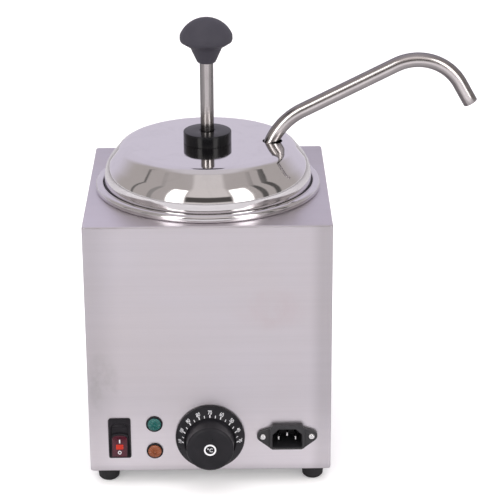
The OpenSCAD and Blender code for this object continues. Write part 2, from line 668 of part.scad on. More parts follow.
// compression spring between the valve block and the piston
coil_r = 10.6;
coil_wire_r = 0.9;
turn_steps = 20;
sides = 8;                        // points around the wire
rings = turn_steps * spring_turns;
spring_z = barrel_z + coil_wire_r;
spring_rise = piston_z - coil_wire_r - spring_z;
function spring_point(i, j) =
  let (
    turn = 360 * i / turn_steps,
    around = 360 * j / sides,
    radius = coil_r + coil_wire_r * cos(around)
  )
  [radius * cos(turn), radius * sin(turn),
   spring_z + spring_rise * i / rings + coil_wire_r * sin(around)];
// index of point j on ring i
function at(i, j) = i * sides + j % sides;

module return_spring() color("silver") polyhedron(
  points = [for (i = [0:rings], j = [0:sides - 1]) spring_point(i, j)],
  faces = concat(
    [[for (j = [0:sides - 1]) j]],
    [[for (j = [0:sides - 1]) at(rings, sides - 1 - j)]],
    [for (i = [0:rings - 1], j = [0:sides - 1]) [at(i, j), at(i + 1, j), at(i + 1, j + 1)]],
    [for (i = [0:rings - 1], j = [0:sides - 1]) [at(i, j), at(i + 1, j + 1), at(i, j + 1)]]));

outer_shell();
bottom_plate();
bottom_plate_screws();
rubber_feet();
foot_screws();
foot_nuts();
water_well();
insulation_wrap();
heater_plate();
heater_clamp_bar();
heater_clamp_nut();
thermal_cutout();
thermostat_body();
thermostat_screws();
capillary_bulb();
thermostat_shaft();
dial_knob();
dial_cap();
switch_housing();
switch_terminals();
rocker();
rocker_lens();
green_lamp_holder();
green_lamp_lens();
amber_lamp_holder();
amber_lamp_lens();
lamp_bulbs();
inlet_housing();
inlet_pins();
inlet_screws();
inlet_nuts();
terminal_block();
live_wires();
neutral_wires();
earth_wire();
earth_stud();
sauce_jar();
lid_gasket();
pump_lid();
collar_gasket();
lock_collar();
guide_bush();
pump_cylinder();
valve_body();
intake_cap();
inlet_ball();
outlet_ball();
pouring_tube();
tube_nut();
push_rod();
push_knob();
piston();
piston_seal();
piston_nut();
return_spring();
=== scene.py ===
"""A heated sauce dispenser: a square steel housing with a round jar let into its deck, a domed
lid with a push plunger, and a pouring tube that hooks over towards +X.

+Z is up and the feet stand at z = 0. The jar and plunger share the Z axis. The front panel faces
-Y and carries the dial, power switch, two lamps and mains inlet.
"""

import json
import math
from contextlib import contextmanager

import bmesh
import bpy
from mathutils import Matrix, Vector


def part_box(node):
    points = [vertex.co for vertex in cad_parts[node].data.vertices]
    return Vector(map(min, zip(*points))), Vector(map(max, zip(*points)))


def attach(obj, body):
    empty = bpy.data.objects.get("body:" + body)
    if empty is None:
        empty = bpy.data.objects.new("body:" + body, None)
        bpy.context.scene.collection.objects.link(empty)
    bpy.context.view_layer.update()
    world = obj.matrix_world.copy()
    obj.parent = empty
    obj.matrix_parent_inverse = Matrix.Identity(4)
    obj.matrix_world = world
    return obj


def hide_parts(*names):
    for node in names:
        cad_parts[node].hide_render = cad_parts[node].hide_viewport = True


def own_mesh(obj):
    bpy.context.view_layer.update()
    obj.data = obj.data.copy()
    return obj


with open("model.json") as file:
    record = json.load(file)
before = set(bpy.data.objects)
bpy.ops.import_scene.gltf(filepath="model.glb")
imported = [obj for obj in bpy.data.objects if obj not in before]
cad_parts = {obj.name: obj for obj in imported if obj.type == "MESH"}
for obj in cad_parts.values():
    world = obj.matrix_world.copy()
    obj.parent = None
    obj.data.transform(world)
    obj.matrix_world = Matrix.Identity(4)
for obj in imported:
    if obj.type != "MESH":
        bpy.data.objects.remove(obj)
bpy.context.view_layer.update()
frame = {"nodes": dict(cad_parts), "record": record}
scene = bpy.context.scene

# ------------------------------------------------------------------ driving sizes
# Sizes are in millimetres and are scaled to metres when a mesh is made.
MM = 0.001


def box_mm(node):
    low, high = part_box(node)
    return low * 1000, high * 1000


def centre_xz(node):
    low, high = box_mm(node)
    return (low.x + high.x) / 2, (low.z + high.z) / 2


SHELL_LOW, SHELL_HIGH = box_mm("outer_shell")
BASE_Z, DECK_Z = SHELL_LOW.z, SHELL_HIGH.z
HALF = SHELL_HIGH.x        # half the housing's width
PANEL_Y = SHELL_LOW.y      # the face of the front panel
LID_LOW, LID_HIGH = box_mm("pump_lid")
ROD_R = box_mm("push_rod")[1].x
TUBE_X = centre_xz("tube_nut")[0]

DIAL_X, DIAL_Z = centre_xz("dial_knob")
DIAL_LOW, DIAL_HIGH = box_mm("dial_knob")
DIAL_R = (DIAL_HIGH.x - DIAL_LOW.x) / 2
GRIP_H = PANEL_Y - DIAL_LOW.y    # the grip's face, off the panel
SWITCH_X, SWITCH_Z = centre_xz("switch_housing")
INLET_X = centre_xz("inlet_housing")[0]
FLANGE_DROP = 12.4               # inlet centre to the flange's lower edge
INLET_Z = box_mm("inlet_housing")[0].z + FLANGE_DROP
EAR_X = 20.0                     # inlet centre to each fixing screw
SCREW_HOLE_R = 1.6
LAMPS = {tag: centre_xz(f"{tag}_lamp_holder") for tag in ("green", "amber")}

FOOT_R = 9.4
FOOT_BORE = 2.1
FOOT_XY = box_mm("rubber_feet")[1].x - FOOT_R

# ------------------------------------------------------------------ shader nodes


class Nodes:
    """Short calls that add linked nodes to a tree; a value may be a number or a socket."""

    def __init__(self, tree):
        self.tree = tree
        self.coords = self.new("ShaderNodeTexCoord")
        self.co = self.coords.outputs["Object"]

    def new(self, kind, **props):
        node = self.tree.nodes.new(kind)
        for key, value in props.items():
            setattr(node, key, value)
        return node

    def put(self, socket, value):
        if isinstance(value, bpy.types.NodeSocket):
            self.tree.links.new(value, socket)
        else:
            socket.default_value = value

    def math(self, operation, a, b=0.0, clamp=False):
        node = self.new("ShaderNodeMath", operation=operation, use_clamp=clamp)
        self.put(node.inputs[0], a)
        self.put(node.inputs[1], b)
        return node.outputs[0]

    def mul(self, product, *factors):
        for factor in factors:
            product = self.math("MULTIPLY", product, factor)
        return product

    def add(self, a, b, clamp=False):
        return self.math("ADD", a, b, clamp)

    def stretch(self, x, y, z):
        """Object coordinates scaled along each axis."""
        node = self.new("ShaderNodeMapping")
        node.inputs["Scale"].default_value = (x, y, z)
        self.put(node.inputs["Vector"], self.co)
        return node.outputs[0]

    def noise(self, scale=1.0, detail=3.0, rough=0.5, warp=0.0, vec=None):
        node = self.new("ShaderNodeTexNoise")
        self.put(node.inputs["Vector"], vec or self.co)
        node.inputs["Scale"].default_value = scale
        node.inputs["Detail"].default_value = detail
        node.inputs["Roughness"].default_value = rough
        node.inputs["Distortion"].default_value = warp
        return node.outputs[0]

    def span(self, value, within=(0.3, 0.7), to=(0.0, 1.0), smooth=False):
        """The value carried from one range to another; the first default is noise's usual one."""
        node = self.new("ShaderNodeMapRange", clamp=True)
        if smooth:
            node.interpolation_type = "SMOOTHSTEP"
        self.put(node.inputs["Value"], value)
        keys = ("From Min", "From Max", "To Min", "To Max")
        for key, limit in zip(keys, (*within, *to)):
            self.put(node.inputs[key], limit)
        return node.outputs["Result"]

    def mix(self, factor, a, b, blend="MIX"):
        """Two colours mixed; each is a triple or a socket."""
        node = self.new("ShaderNodeMix", data_type="RGBA", blend_type=blend)
        self.put(node.inputs["Factor"], factor)
        self.put(node.inputs["A"], (*a, 1) if isinstance(a, tuple) else a)
        self.put(node.inputs["B"], (*b, 1) if isinstance(b, tuple) else b)
        return node.outputs["Result"]

    def blend(self, factor, a, b):
        """Two numbers mixed."""
        node = self.new("ShaderNodeMix", data_type="FLOAT")
        for index, value in ((0, factor), (2, a), (3, b)):
            self.put(node.inputs[index], value)
        return node.outputs[0]

    def shade(self, colour, tone):
        """The colour multiplied by a grey tone."""
        grey = self.new("ShaderNodeCombineColor")
        for i in range(3):
            self.put(grey.inputs[i], tone)
        return self.mix(1.0, colour, grey.outputs[0], "MULTIPLY")

    def xyz(self, vec=None):
        node = self.new("ShaderNodeSeparateXYZ")
        self.put(node.inputs[0], vec or self.co)
        return node.outputs

    def facing(self, weight):
        node = self.new("ShaderNodeLayerWeight")
        node.inputs["Blend"].default_value = weight
        return node.outputs["Facing"]


class Mat(Nodes):
    """A Principled material; its textures read object coordinates, in metres."""

    def __init__(self, name):
        self.name = name
        self.material = bpy.data.materials.new(name)
        self.material.use_nodes = True
        super().__init__(self.material.node_tree)
        self.shader = next(n for n in self.tree.nodes if n.type == "BSDF_PRINCIPLED")

    def set(self, **inputs):
        for key, value in inputs.items():
            self.put(self.shader.inputs[key.replace("_", " ")], value)
        return self

    def bump(self, height, strength, depth, under=None):
        """Bumps, laid over another bump's normal where one is given."""
        node = self.new("ShaderNodeBump")
        node.inputs["Strength"].default_value = strength
        node.inputs["Distance"].default_value = depth
        self.put(node.inputs["Height"], height)
        if under is not None:
            self.put(node.inputs["Normal"], under)
        self.put(self.shader.inputs["Normal"], node.outputs[0])
        return node.outputs[0]


# ------------------------------------------------------------------ materials

# Stains on the front panel: centre x, z and radii x, z in metres, strength, colour.
STAINS = [
    (0.052, 0.158, 0.035, 0.022, 0.45, (0.57, 0.49, 0.51)),
    (-0.088, 0.094, 0.016, 0.030, 0.6, (0.40, 0.39, 0.385)),
]


def shell_steel():
    """Brushed sheet: its grain runs along X on the walls and on the deck."""
    k = Mat("shell_steel")
    _, normal_y, normal_z = k.xyz(k.coords.outputs["Normal"])
    up = k.span(k.math("ABSOLUTE", normal_z), within=(0.55, 0.8))
    wall_grain = k.noise(detail=4, rough=0.65, vec=k.stretch(9, 9, 1500))
    wall_broad = k.noise(detail=3, rough=0.6, vec=k.stretch(3, 3, 260))
    deck_grain = k.noise(detail=4, rough=0.65, vec=k.stretch(9, 1500, 9))
    deck_broad = k.noise(detail=3, rough=0.6, vec=k.stretch(3, 260, 3))
    grain = k.blend(up, wall_grain, deck_grain)
    broad = k.blend(up, wall_broad, deck_broad)
    cloud = k.noise(scale=9.0, detail=4, rough=0.55, warp=0.6)
    fine = k.noise(scale=60.0, detail=4, rough=0.6)
    x, y, z = k.xyz()

    # painted shade: the walls darken towards both vertical folds, most of all on the right (+X)
    painted_fold_shade_right = k.span(x, within=(0.080, 0.093), to=(1.0, 0.83), smooth=True)
    painted_fold_shade_left = k.span(x, within=(-0.097, -0.068), to=(0.87, 1.0), smooth=True)
    # painted light and shade on the deck: darker towards +X, lighter at the front (-Y) and darker
    # towards the back; edges carries this and the walls' painted fold shade
    deck_painted_light_x = k.span(x, within=(0.02, 0.09), to=(1.0, 0.92), smooth=True)
    deck_painted_light_y = k.span(y, within=(-0.09, 0.09), to=(1.12, 0.94))
    edges = k.blend(up, k.mul(painted_fold_shade_right, painted_fold_shade_left), k.mul(deck_painted_light_x, deck_painted_light_y))
    # painted shade: the walls darken over the lowest few millimetres above the base, where the floor
    # by the foot lies in shadow
    painted_bottom_shade_band = (BASE_Z * MM + 0.001, BASE_Z * MM + 0.007)
    low = k.span(z, within=painted_bottom_shade_band, to=(1.0, 0.0), smooth=True)
    # painted light: the walls brighten towards the bottom, and the deck is made brighter than the
    # walls
    wall_painted_light = k.span(z, within=(0.015, 0.085), to=(1.56, 1.18), smooth=True)
    deck_painted_lift = 1.12
    # tone: the real grain and cloudy patches, times the painted shade and painted light above
    tone = k.mul(
        k.span(broad, to=(0.985, 1.012)),
        k.span(grain, within=(0.25, 0.75), to=(0.98, 1.015)),
        k.span(cloud, to=(0.97, 1.02)),
        edges,
        k.span(low, within=(0, 1), to=(1.0, 0.86)),
        k.blend(up, wall_painted_light, deck_painted_lift),
    )

    front = k.span(normal_y, within=(-0.9, -0.6), to=(1.0, 0.0))
    base = k.mix(k.span(cloud, within=(0.35, 0.65)), (0.608, 0.574, 0.596), (0.594, 0.567, 0.601))
    for centre_x, centre_z, radius_x, radius_z, strength, colour in STAINS:
        across = k.math("DIVIDE", k.math("SUBTRACT", x, centre_x), radius_x)
        along = k.math("DIVIDE", k.math("SUBTRACT", z, centre_z), radius_z)
        distance = k.add(k.math("POWER", across, 2.0), k.math("POWER", along, 2.0))
        ragged = k.noise(scale=42.0, detail=5, rough=0.65)
        stain = k.mul(
            k.span(distance, within=(0.0, 1.0), to=(1.0, 0.0), smooth=True),
            k.span(ragged, within=(0.38, 0.62), to=(0.15, 1.0)),
        )
        base = k.mix(k.mul(stain, front, strength), base, colour)

    rough = k.add(
        k.span(grain, within=(0.25, 0.75), to=(0.27, 0.40)),
        k.span(fine, within=(0.4, 0.75), to=(0.0, 0.05)),
    )
    height = k.add(k.mul(grain, 0.6), k.mul(broad, 0.4))
    k.bump(height, strength=0.10, depth=0.0004)
    return k.set(Base_Color=k.shade(base, tone), Metallic=1.0, Roughness=rough)


def turned_rings(k):
    """Fine rings round the Z axis, as on spun or turned metal."""
    per_metre = 1400
    x, y, z = k.xyz()
    radius = k.math("SQRT", k.add(k.mul(x, x), k.mul(y, y)))
    node = k.new("ShaderNodeCombineXYZ")
    k.put(node.inputs[0], k.mul(radius, per_metre))
    k.put(node.inputs[1], k.mul(z, per_metre))
    return k.noise(detail=3, rough=0.6, vec=node.outputs[0])


def polished_steel():
    k = Mat("polished_steel")
    rings = turned_rings(k)
    soft = k.noise(scale=22.0, detail=2, rough=0.45, warp=0.4)
    wobble = k.noise(scale=75.0, detail=2, rough=0.5)
    smudge = k.noise(scale=38.0, detail=5, rough=0.6, warp=1.2)
    rough = k.add(
        k.span(smudge, within=(0.45, 0.8), to=(0.035, 0.11)),
        k.span(rings, to=(0.0, 0.02)),
    )
    smudged = k.span(smudge, within=(0.5, 0.85))
    colour = k.mix(smudged, (0.80, 0.78, 0.785), (0.74, 0.72, 0.725))
    soft_bump = k.bump(soft, strength=0.16, depth=0.0016)
    wobble_bump = k.bump(wobble, strength=0.05, depth=0.0006, under=soft_bump)
    k.bump(rings, strength=0.025, depth=0.0002, under=wobble_bump)
    return k.set(Base_Color=colour, Metallic=1.0, Roughness=rough)


def jar_steel():
    """Turned below the deck, polished on the rim above it."""
    k = Mat("jar_steel")
    rings = turned_rings(k)
    smudge = k.noise(scale=45.0, detail=5, rough=0.6, warp=0.8)
    rim = k.span(k.xyz()[2], within=(DECK_Z * MM - 0.001, DECK_Z * MM + 0.001))
    rough = k.blend(
        rim,
        k.span(rings, to=(0.24, 0.36)),
        k.span(smudge, within=(0.4, 0.8), to=(0.07, 0.15)),
    )
    colour = k.mix(k.span(smudge, within=(0.4, 0.8)), (0.76, 0.74, 0.755), (0.70, 0.68, 0.69))
    dents = k.bump(k.noise(scale=30.0, detail=2, rough=0.5), strength=0.10, depth=0.001)
    k.bump(rings, strength=0.05, depth=0.0003, under=dents)
    return k.set(Base_Color=colour, Metallic=1.0, Roughness=rough)


# Painted reflection on the tube and rod, from square on (0) to edge on (1): a painted highlight band
# near square on and painted dark edges.
TUBE_PAINTED_REFLECTION = [
    (0.0, 0.62), (0.012, 0.66), (0.035, 1.0), (0.075, 1.0), (0.12, 0.62),
    (0.24, 0.50), (0.42, 0.44), (0.62, 0.24), (0.80, 0.11), (1.0, 0.07),
]


def tube_steel():
    k = Mat("tube_steel")
    streak = k.noise(detail=4, rough=0.6, vec=k.stretch(60, 900, 60))
    fine = k.noise(scale=420.0, detail=4, rough=0.65)
    spots = k.noise(scale=90.0, detail=3, rough=0.5)
    # painted reflection: this ramp lays a bright band and dark edges over the steel by facing; the
    # rod, nearer the axis than 20 mm, is darkened as well
    painted_reflection_ramp = k.new("ShaderNodeValToRGB")
    k.put(painted_reflection_ramp.inputs[0], k.facing(0.5))
    elements = painted_reflection_ramp.color_ramp.elements
    for index in (0, -1):
        elements[index].color = (TUBE_PAINTED_REFLECTION[index][1],) * 3 + (1,)
    for place, value in TUBE_PAINTED_REFLECTION[1:-1]:
        elements.new(place).color = (value, value, value, 1)
    tone = k.mul(
        painted_reflection_ramp.outputs["Color"],
        k.span(streak, to=(0.90, 1.06)),
        k.span(k.xyz()[0], within=(0.020, 0.030), to=(0.74, 1.0)),
    )
    base = k.mix(k.span(spots), (0.84, 0.795, 0.785), (0.77, 0.725, 0.72))
    streak_bump = k.bump(streak, strength=0.05, depth=0.0003)
    k.bump(fine, strength=0.04, depth=0.0002, under=streak_bump)
    rough = k.span(fine, within=(0.3, 0.75), to=(0.16, 0.28))
    return k.set(Base_Color=k.shade(base, tone), Metallic=1.0, Roughness=rough)


def plate_steel():
    k = Mat("plate_steel")
    grain = k.noise(detail=4, rough=0.6, vec=k.stretch(8, 500, 8))
    broad = k.noise(scale=25.0, detail=4, rough=0.5, warp=0.6)
    colour = k.mix(k.span(broad), (0.56, 0.56, 0.57), (0.49, 0.49, 0.50))
    k.bump(grain, strength=0.08, depth=0.0004)
    return k.set(Base_Color=colour, Metallic=1.0, Roughness=k.span(grain, to=(0.32, 0.48)))


def metal(name, colour, patches, rough, grain_scale=300.0, grain=0.08, patch_scale=40.0):
    k = Mat(name)
    fine = k.noise(scale=grain_scale, detail=4, rough=0.6)
    broad = k.noise(scale=patch_scale, detail=4, rough=0.55, warp=0.5)
    mixed = k.mix(k.span(broad), colour, patches)
    k.bump(fine, strength=grain, depth=0.0003)
    return k.set(Base_Color=mixed, Metallic=1.0, Roughness=k.span(broad, to=rough))


def plastic(name, colour, patches, rough, grain=0.10, grain_scale=900.0, wear=0.0, coat=0.0,
            spec=0.5, patch_scale=55.0):
    """Grained plastic; wear lightens its corners."""
    k = Mat(name)
    fine = k.noise(scale=grain_scale, detail=3, rough=0.6)
    broad = k.noise(scale=patch_scale, detail=4, rough=0.55, warp=0.4)
    mixed = k.mix(k.span(broad), colour, patches)
    if wear:
        pointiness = k.new("ShaderNodeNewGeometry").outputs["Pointiness"]
        patchy = k.noise(scale=260.0, detail=4, rough=0.6)
        worn = k.mul(
            k.span(pointiness, within=(0.52, 0.60), to=(0.0, wear)),
            k.span(patchy, within=(0.35, 0.65), to=(0.2, 1.0)),
        )
        mixed = k.mix(worn, mixed, tuple(min(1.0, part * 2.4 + 0.02) for part in colour))
    broad_bump = k.bump(broad, strength=0.03, depth=0.001)
    k.bump(fine, strength=grain, depth=0.0002, under=broad_bump)
    texture = k.add(k.mul(broad, 0.7), k.mul(fine, 0.3))
    return k.set(
        Base_Color=mixed, Metallic=0.0, Roughness=k.span(texture, to=rough),
        Specular_IOR_Level=spec, Coat_Weight=coat, Coat_Roughness=0.08)


def lens(name, deep, bright, glow):
    """Tinted clear plastic, brighter where it faces the eye."""
    k = Mat(name)
    fine = k.noise(scale=500.0, detail=3, rough=0.6)
    broad = k.noise(scale=130.0, detail=3, rough=0.5)
    factor = k.mul(
        k.span(broad, to=(0.55, 1.0)),
        k.span(k.facing(0.4), within=(0.1, 0.9), to=(1.0, 0.25)),
    )
    colour = k.mix(factor, deep, bright)
    k.bump(fine, strength=0.05, depth=0.0002)
    return k.set(
        Base_Color=colour, Roughness=k.span(fine, to=(0.16, 0.28)),
        Transmission_Weight=0.12, IOR=1.49, Coat_Weight=0.3, Coat_Roughness=0.06,
        Emission_Color=colour, Emission_Strength=glow)


def fibre(name, colour, strands):
    k = Mat(name)
    strand = k.noise(detail=5, rough=0.7, warp=1.5, vec=k.stretch(160, 160, 900))
    broad = k.noise(scale=35.0, detail=4, rough=0.6)
    mixed = k.mix(k.span(strand), colour, strands)
    k.bump(k.add(strand, broad), strength=0.6, depth=0.0015)
    return k.set(Base_Color=mixed, Roughness=k.span(strand, to=(0.85, 0.98)), Sheen_Weight=0.3)


# Metals and plastics: name, colour, colour of the soft patches, (lowest, highest) roughness.
# Lenses: name, deep colour, bright colour.
LOOKS = [
    shell_steel(),
    polished_steel(),
    jar_steel(),
    tube_steel(),
    plate_steel(),
    metal("zinc_fastener", (0.96, 0.96, 0.96), (0.88, 0.88, 0.89), (0.16, 0.30),
          grain_scale=500.0, grain=0.06, patch_scale=300.0),
    metal("aluminium_cast", (0.55, 0.55, 0.56), (0.47, 0.47, 0.48), (0.45, 0.62),
          grain_scale=220.0, grain=0.35, patch_scale=60.0),
    metal("copper_tube", (0.72, 0.36, 0.22), (0.55, 0.27, 0.17), (0.30, 0.45), patch_scale=90.0),
    metal("brass_tab", (0.74, 0.55, 0.24), (0.62, 0.45, 0.20), (0.25, 0.38), patch_scale=200.0),
    plastic("rubber_black", (0.011, 0.011, 0.012), (0.018, 0.017, 0.019), (0.55, 0.78),
            grain=0.25, grain_scale=700.0, spec=0.35),
    plastic("silicone_black", (0.012, 0.012, 0.014), (0.020, 0.019, 0.022), (0.32, 0.50),
            grain=0.12, grain_scale=600.0),
    plastic("knob_grey", (0.036, 0.034, 0.044), (0.045, 0.042, 0.053), (0.52, 0.64),
            grain=0.30, grain_scale=1100.0, wear=0.10, spec=0.22),
    plastic("collar_black", (0.004, 0.004, 0.005), (0.007, 0.007, 0.008), (0.12, 0.22),
            grain=0.03, grain_scale=500.0, spec=0.24),
    plastic("dial_black", (0.010, 0.010, 0.012), (0.016, 0.015, 0.018), (0.26, 0.38),
            grain=0.12, wear=0.25, spec=0.18),
    plastic("dial_white", (0.78, 0.78, 0.80), (0.70, 0.70, 0.72), (0.38, 0.52)),
    plastic("switch_black", (0.009, 0.008, 0.010), (0.015, 0.013, 0.016), (0.26, 0.40),
            grain=0.12, wear=0.25, spec=0.17),
    lens("rocker_red", (0.019, 0.001, 0.006), (0.063, 0.003, 0.013), glow=0.0),
    lens("lens_green", (0.001, 0.031, 0.029), (0.005, 0.115, 0.104), glow=0.02),
    lens("lens_amber", (0.095, 0.020, 0.006), (0.28, 0.074, 0.022), glow=0.02),
    plastic("inlet_black", (0.014, 0.014, 0.016), (0.022, 0.021, 0.024), (0.34, 0.50),
            grain=0.14, grain_scale=800.0, wear=0.2),
    plastic("bulb_glass", (0.72, 0.70, 0.66), (0.62, 0.60, 0.58), (0.08, 0.16),
            grain=0.03, grain_scale=400.0, coat=0.4),
    plastic("food_plastic", (0.80, 0.79, 0.75), (0.72, 0.71, 0.67), (0.34, 0.48),
            grain=0.14, grain_scale=500.0),
    plastic("ceramic_body", (0.78, 0.75, 0.68), (0.68, 0.65, 0.58), (0.48, 0.66),
            grain=0.22, grain_scale=350.0),
    fibre("insulation_felt", (0.62, 0.58, 0.46), (0.78, 0.75, 0.64)),
    plastic("wire_brown", (0.16, 0.06, 0.028), (0.21, 0.085, 0.04), (0.40, 0.55),
            grain=0.15, grain_scale=500.0),
    plastic("wire_blue", (0.018, 0.055, 0.26), (0.028, 0.08, 0.34), (0.40, 0.55),
            grain=0.15, grain_scale=500.0),
    plastic("wire_green", (0.05, 0.30, 0.05), (0.46, 0.44, 0.05), (0.40, 0.55),
            grain=0.15, grain_scale=500.0, patch_scale=90.0),
    # print on the dial and switch, and the bright window of the red rocker
    plastic("print_white", (0.66, 0.66, 0.68), (0.50, 0.50, 0.53), (0.45, 0.6), patch_scale=400.0),
    lens("window_red", (0.28, 0.008, 0.006), (0.48, 0.030, 0.014), glow=0.05),
]
MATERIALS = {look.name: look.material for look in LOOKS}

# ------------------------------------------------------------------ outlines


def arc(cx, cy, radius, start, end, n):
    """n + 1 points from start to end, in degrees."""
    points = []
    for i in range(n + 1):
        angle = math.radians(start + (end - start) * i / n)
        points.append((cx + radius * math.cos(angle), cy + radius * math.sin(angle)))
    return points


def circle(radius, n, cx=0, cy=0):
    return arc(cx, cy, radius, 0, 360 - 360 / n, n - 1)


def rounded(corners, n, closed=False):
    """A polyline of corners (u, v, radius), each turned into an arc of its radius."""
    out = []
    points = [Vector(corner[:2]) for corner in corners]
    count = len(points)
    for i, p in enumerate(points):
        radius = corners[i][2]
        if not radius or (not closed and i in (0, count - 1)):
            out.append(tuple(p))
            continue
        before, after = points[i - 1], points[(i + 1) % count]
        back, onward = (before - p).normalized(), (after - p).normalized()
        half = math.acos(max(-1, min(1, back.dot(onward)))) / 2
        if half > math.radians(89.5):
            out.append(tuple(p))
            continue
        # an arc never takes more than about half of either side
        reach = radius / math.tan(half)
        reach = min(reach, (before - p).length * 0.48, (after - p).length * 0.48)
        fitted = reach * math.tan(half)
        centre = p + (back + onward).normalized() * (fitted / math.sin(half))
        first, last = p + back * reach - centre, p + onward * reach - centre
        start = math.atan2(first.y, first.x)
        sweep = math.atan2(last.y, last.x) - start
        while sweep > math.pi:
            sweep -= 2 * math.pi
        while sweep < -math.pi:
            sweep += 2 * math.pi
        for step in range(n + 1):
            angle = start + sweep * step / n
            out.append((centre.x + fitted * math.cos(angle), centre.y + fitted * math.sin(angle)))
    return out


def rect(half_w, half_h, radii, n=5, cx=0.0, cy=0.0):
    """A rounded rectangle; radii is one or four, from the upper right anticlockwise."""
    if not isinstance(radii, list):
        radii = [radii] * 4
    points = []
    for (sx, sy, start), radius in zip(((1, 1, 0), (-1, 1, 90), (-1, -1, 180), (1, -1, 270)), radii):
        corner_x, corner_y = cx + sx * (half_w - radius), cy + sy * (half_h - radius)
        points += arc(corner_x, corner_y, radius, start, start + 90, n)
    return points


def arch(half_w, low, high, rise, n=14):
    """Straight sides under an arched upper edge."""
    points = [(half_w, low), (half_w, high - rise)]
    for i in range(1, n):
        angle = math.pi * i / n
        points.append((half_w * math.cos(angle), high - rise + rise * math.sin(angle)))
    return points + [(-half_w, high - rise), (-half_w, low)]


# ------------------------------------------------------------------ places
# A place maps an outline's (u, v) and a height h to x, y, z.


def upright(u, v, h):
    return (u, v, h)


def panel_at(x, z):
    """Outlines drawn on the front panel about (x, z), with heights out towards -Y."""
    return lambda u, v, h: (x + u, PANEL_Y - h, z + v)


def along_x(u, v, h):
    return (h, u, v)


on_panel = panel_at(0, 0)
at_dial = panel_at(DIAL_X, DIAL_Z)
at_switch = panel_at(SWITCH_X, SWITCH_Z)
at_inlet = panel_at(INLET_X, INLET_Z)

# ------------------------------------------------------------------ meshes


@contextmanager
def editing(mesh):
    bm = bmesh.new()
    bm.from_mesh(mesh)
    yield bm
    bm.to_mesh(mesh)
    bm.free()


def tidy(mesh):
    with editing(mesh) as bm:
        bmesh.ops.remove_doubles(bm, verts=bm.verts, dist=1e-7)
        bmesh.ops.recalc_face_normals(bm, faces=bm.faces)
    return mesh


def to_mesh(verts, faces):
    mesh = bpy.data.meshes.new("piece")
    mesh.from_pydata([tuple(part * MM for part in vert) for vert in verts], [], faces)
    return tidy(mesh)


def make(name, mesh, slot, body, replaces=(), sharp=40, look=None, weighted=False):
    """The finished object; sharp is the angle above which an edge stays crisp."""
    obj = bpy.data.objects.new(name, mesh)
    mesh.name = name
    scene.collection.objects.link(obj)
    mesh.materials.clear()
    mesh.materials.append(MATERIALS[look or slot])
    for face in mesh.polygons:
        face.use_smooth = True
    mesh.set_sharp_from_angle(angle=math.radians(sharp))
    if weighted:
        modifier = obj.modifiers.new("weighted", "WEIGHTED_NORMAL")
        modifier.keep_sharp = True
        modifier.weight = 80
    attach(obj, body)
    if replaces:
        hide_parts(*replaces)
    return obj


def lathe(profile, n, place=upright, ripple=None):
    """A profile of (radius, height) turned round; ripple(angle, radius, height) adds height."""
    verts, rings = [], []
    for radius, height in profile:
        if radius < 1e-6:
            rings.append([len(verts)])
            verts.append(place(0.0, 0.0, height))
            continue
        rings.append(range(len(verts), len(verts) + n))
        for i in range(n):
            angle = 2 * math.pi * i / n
            lift = ripple(angle, radius, height) if ripple else 0
            verts.append(place(radius * math.cos(angle), radius * math.sin(angle), height + lift))
    faces = []
    pairs = list(zip(rings, rings[1:]))
    if len(rings[0]) > 1 and len(rings[-1]) > 1:
        pairs.append((rings[-1], rings[0]))
    for a, b in pairs:
        if len(a) == 1 and len(b) == 1:
            continue
        for i in range(n):
            k = (i + 1) % n
            if len(a) == 1:
                faces.append((a[0], b[i], b[k]))
            elif len(b) == 1:
                faces.append((a[i], b[0], a[k]))
            else:
                faces.append((a[i], b[i], b[k], a[k]))
    return to_mesh(verts, faces)


def bands(rings, n, closed=False):
    """Quads between neighbouring rings of n points each."""
    faces = []
    for j in range(rings if closed else rings - 1):
        a, b = j * n, (j + 1) % rings * n
        faces += [(a + i, a + (i + 1) % n, b + (i + 1) % n, b + i) for i in range(n)]
    return faces


def prism(outline, low, high, place):
    n = len(outline)
    verts = [place(u, v, h) for h in (low, high) for u, v in outline]
    return to_mesh(verts, [tuple(range(n)), tuple(range(n, 2 * n))] + bands(2, n))


def loft(loops, place, closed=False):
    """A surface through loops of (outline, height), capped or closed on itself."""
    n = len(loops[0][0])
    verts = [place(u, v, h) for outline, h in loops for u, v in outline]
    faces = bands(len(loops), n, closed)
    if not closed:
        faces += [tuple(range(n)), tuple((len(loops) - 1) * n + i for i in range(n))]
    return to_mesh(verts, faces)


def block(low, high):
    verts = [(x, y, z) for z in (low[2], high[2]) for y in (low[1], high[1])
             for x in (low[0], high[0])]
    faces = [(0, 1, 3, 2), (4, 6, 7, 5), (0, 4, 5, 1), (2, 3, 7, 6), (0, 2, 6, 4), (1, 5, 7, 3)]
    return to_mesh(verts, faces)


def merged(meshes):
    out = bpy.data.meshes.new("merged")
    with editing(out) as bm:
        for mesh in meshes:
            bm.from_mesh(mesh)
    return out


def bevel_mesh(mesh, width, n, angle):
    """Every edge sharper than the angle is bevelled."""
    with editing(mesh) as bm:
        edges = [e for e in bm.edges
                 if len(e.link_faces) == 2 and e.calc_face_angle(0) > math.radians(angle)]
        bmesh.ops.bevel(bm, geom=edges, offset=width * MM, segments=n, profile=0.5,
                        affect="EDGES", clamp_overlap=True)
        bmesh.ops.recalc_face_normals(bm, faces=bm.faces)


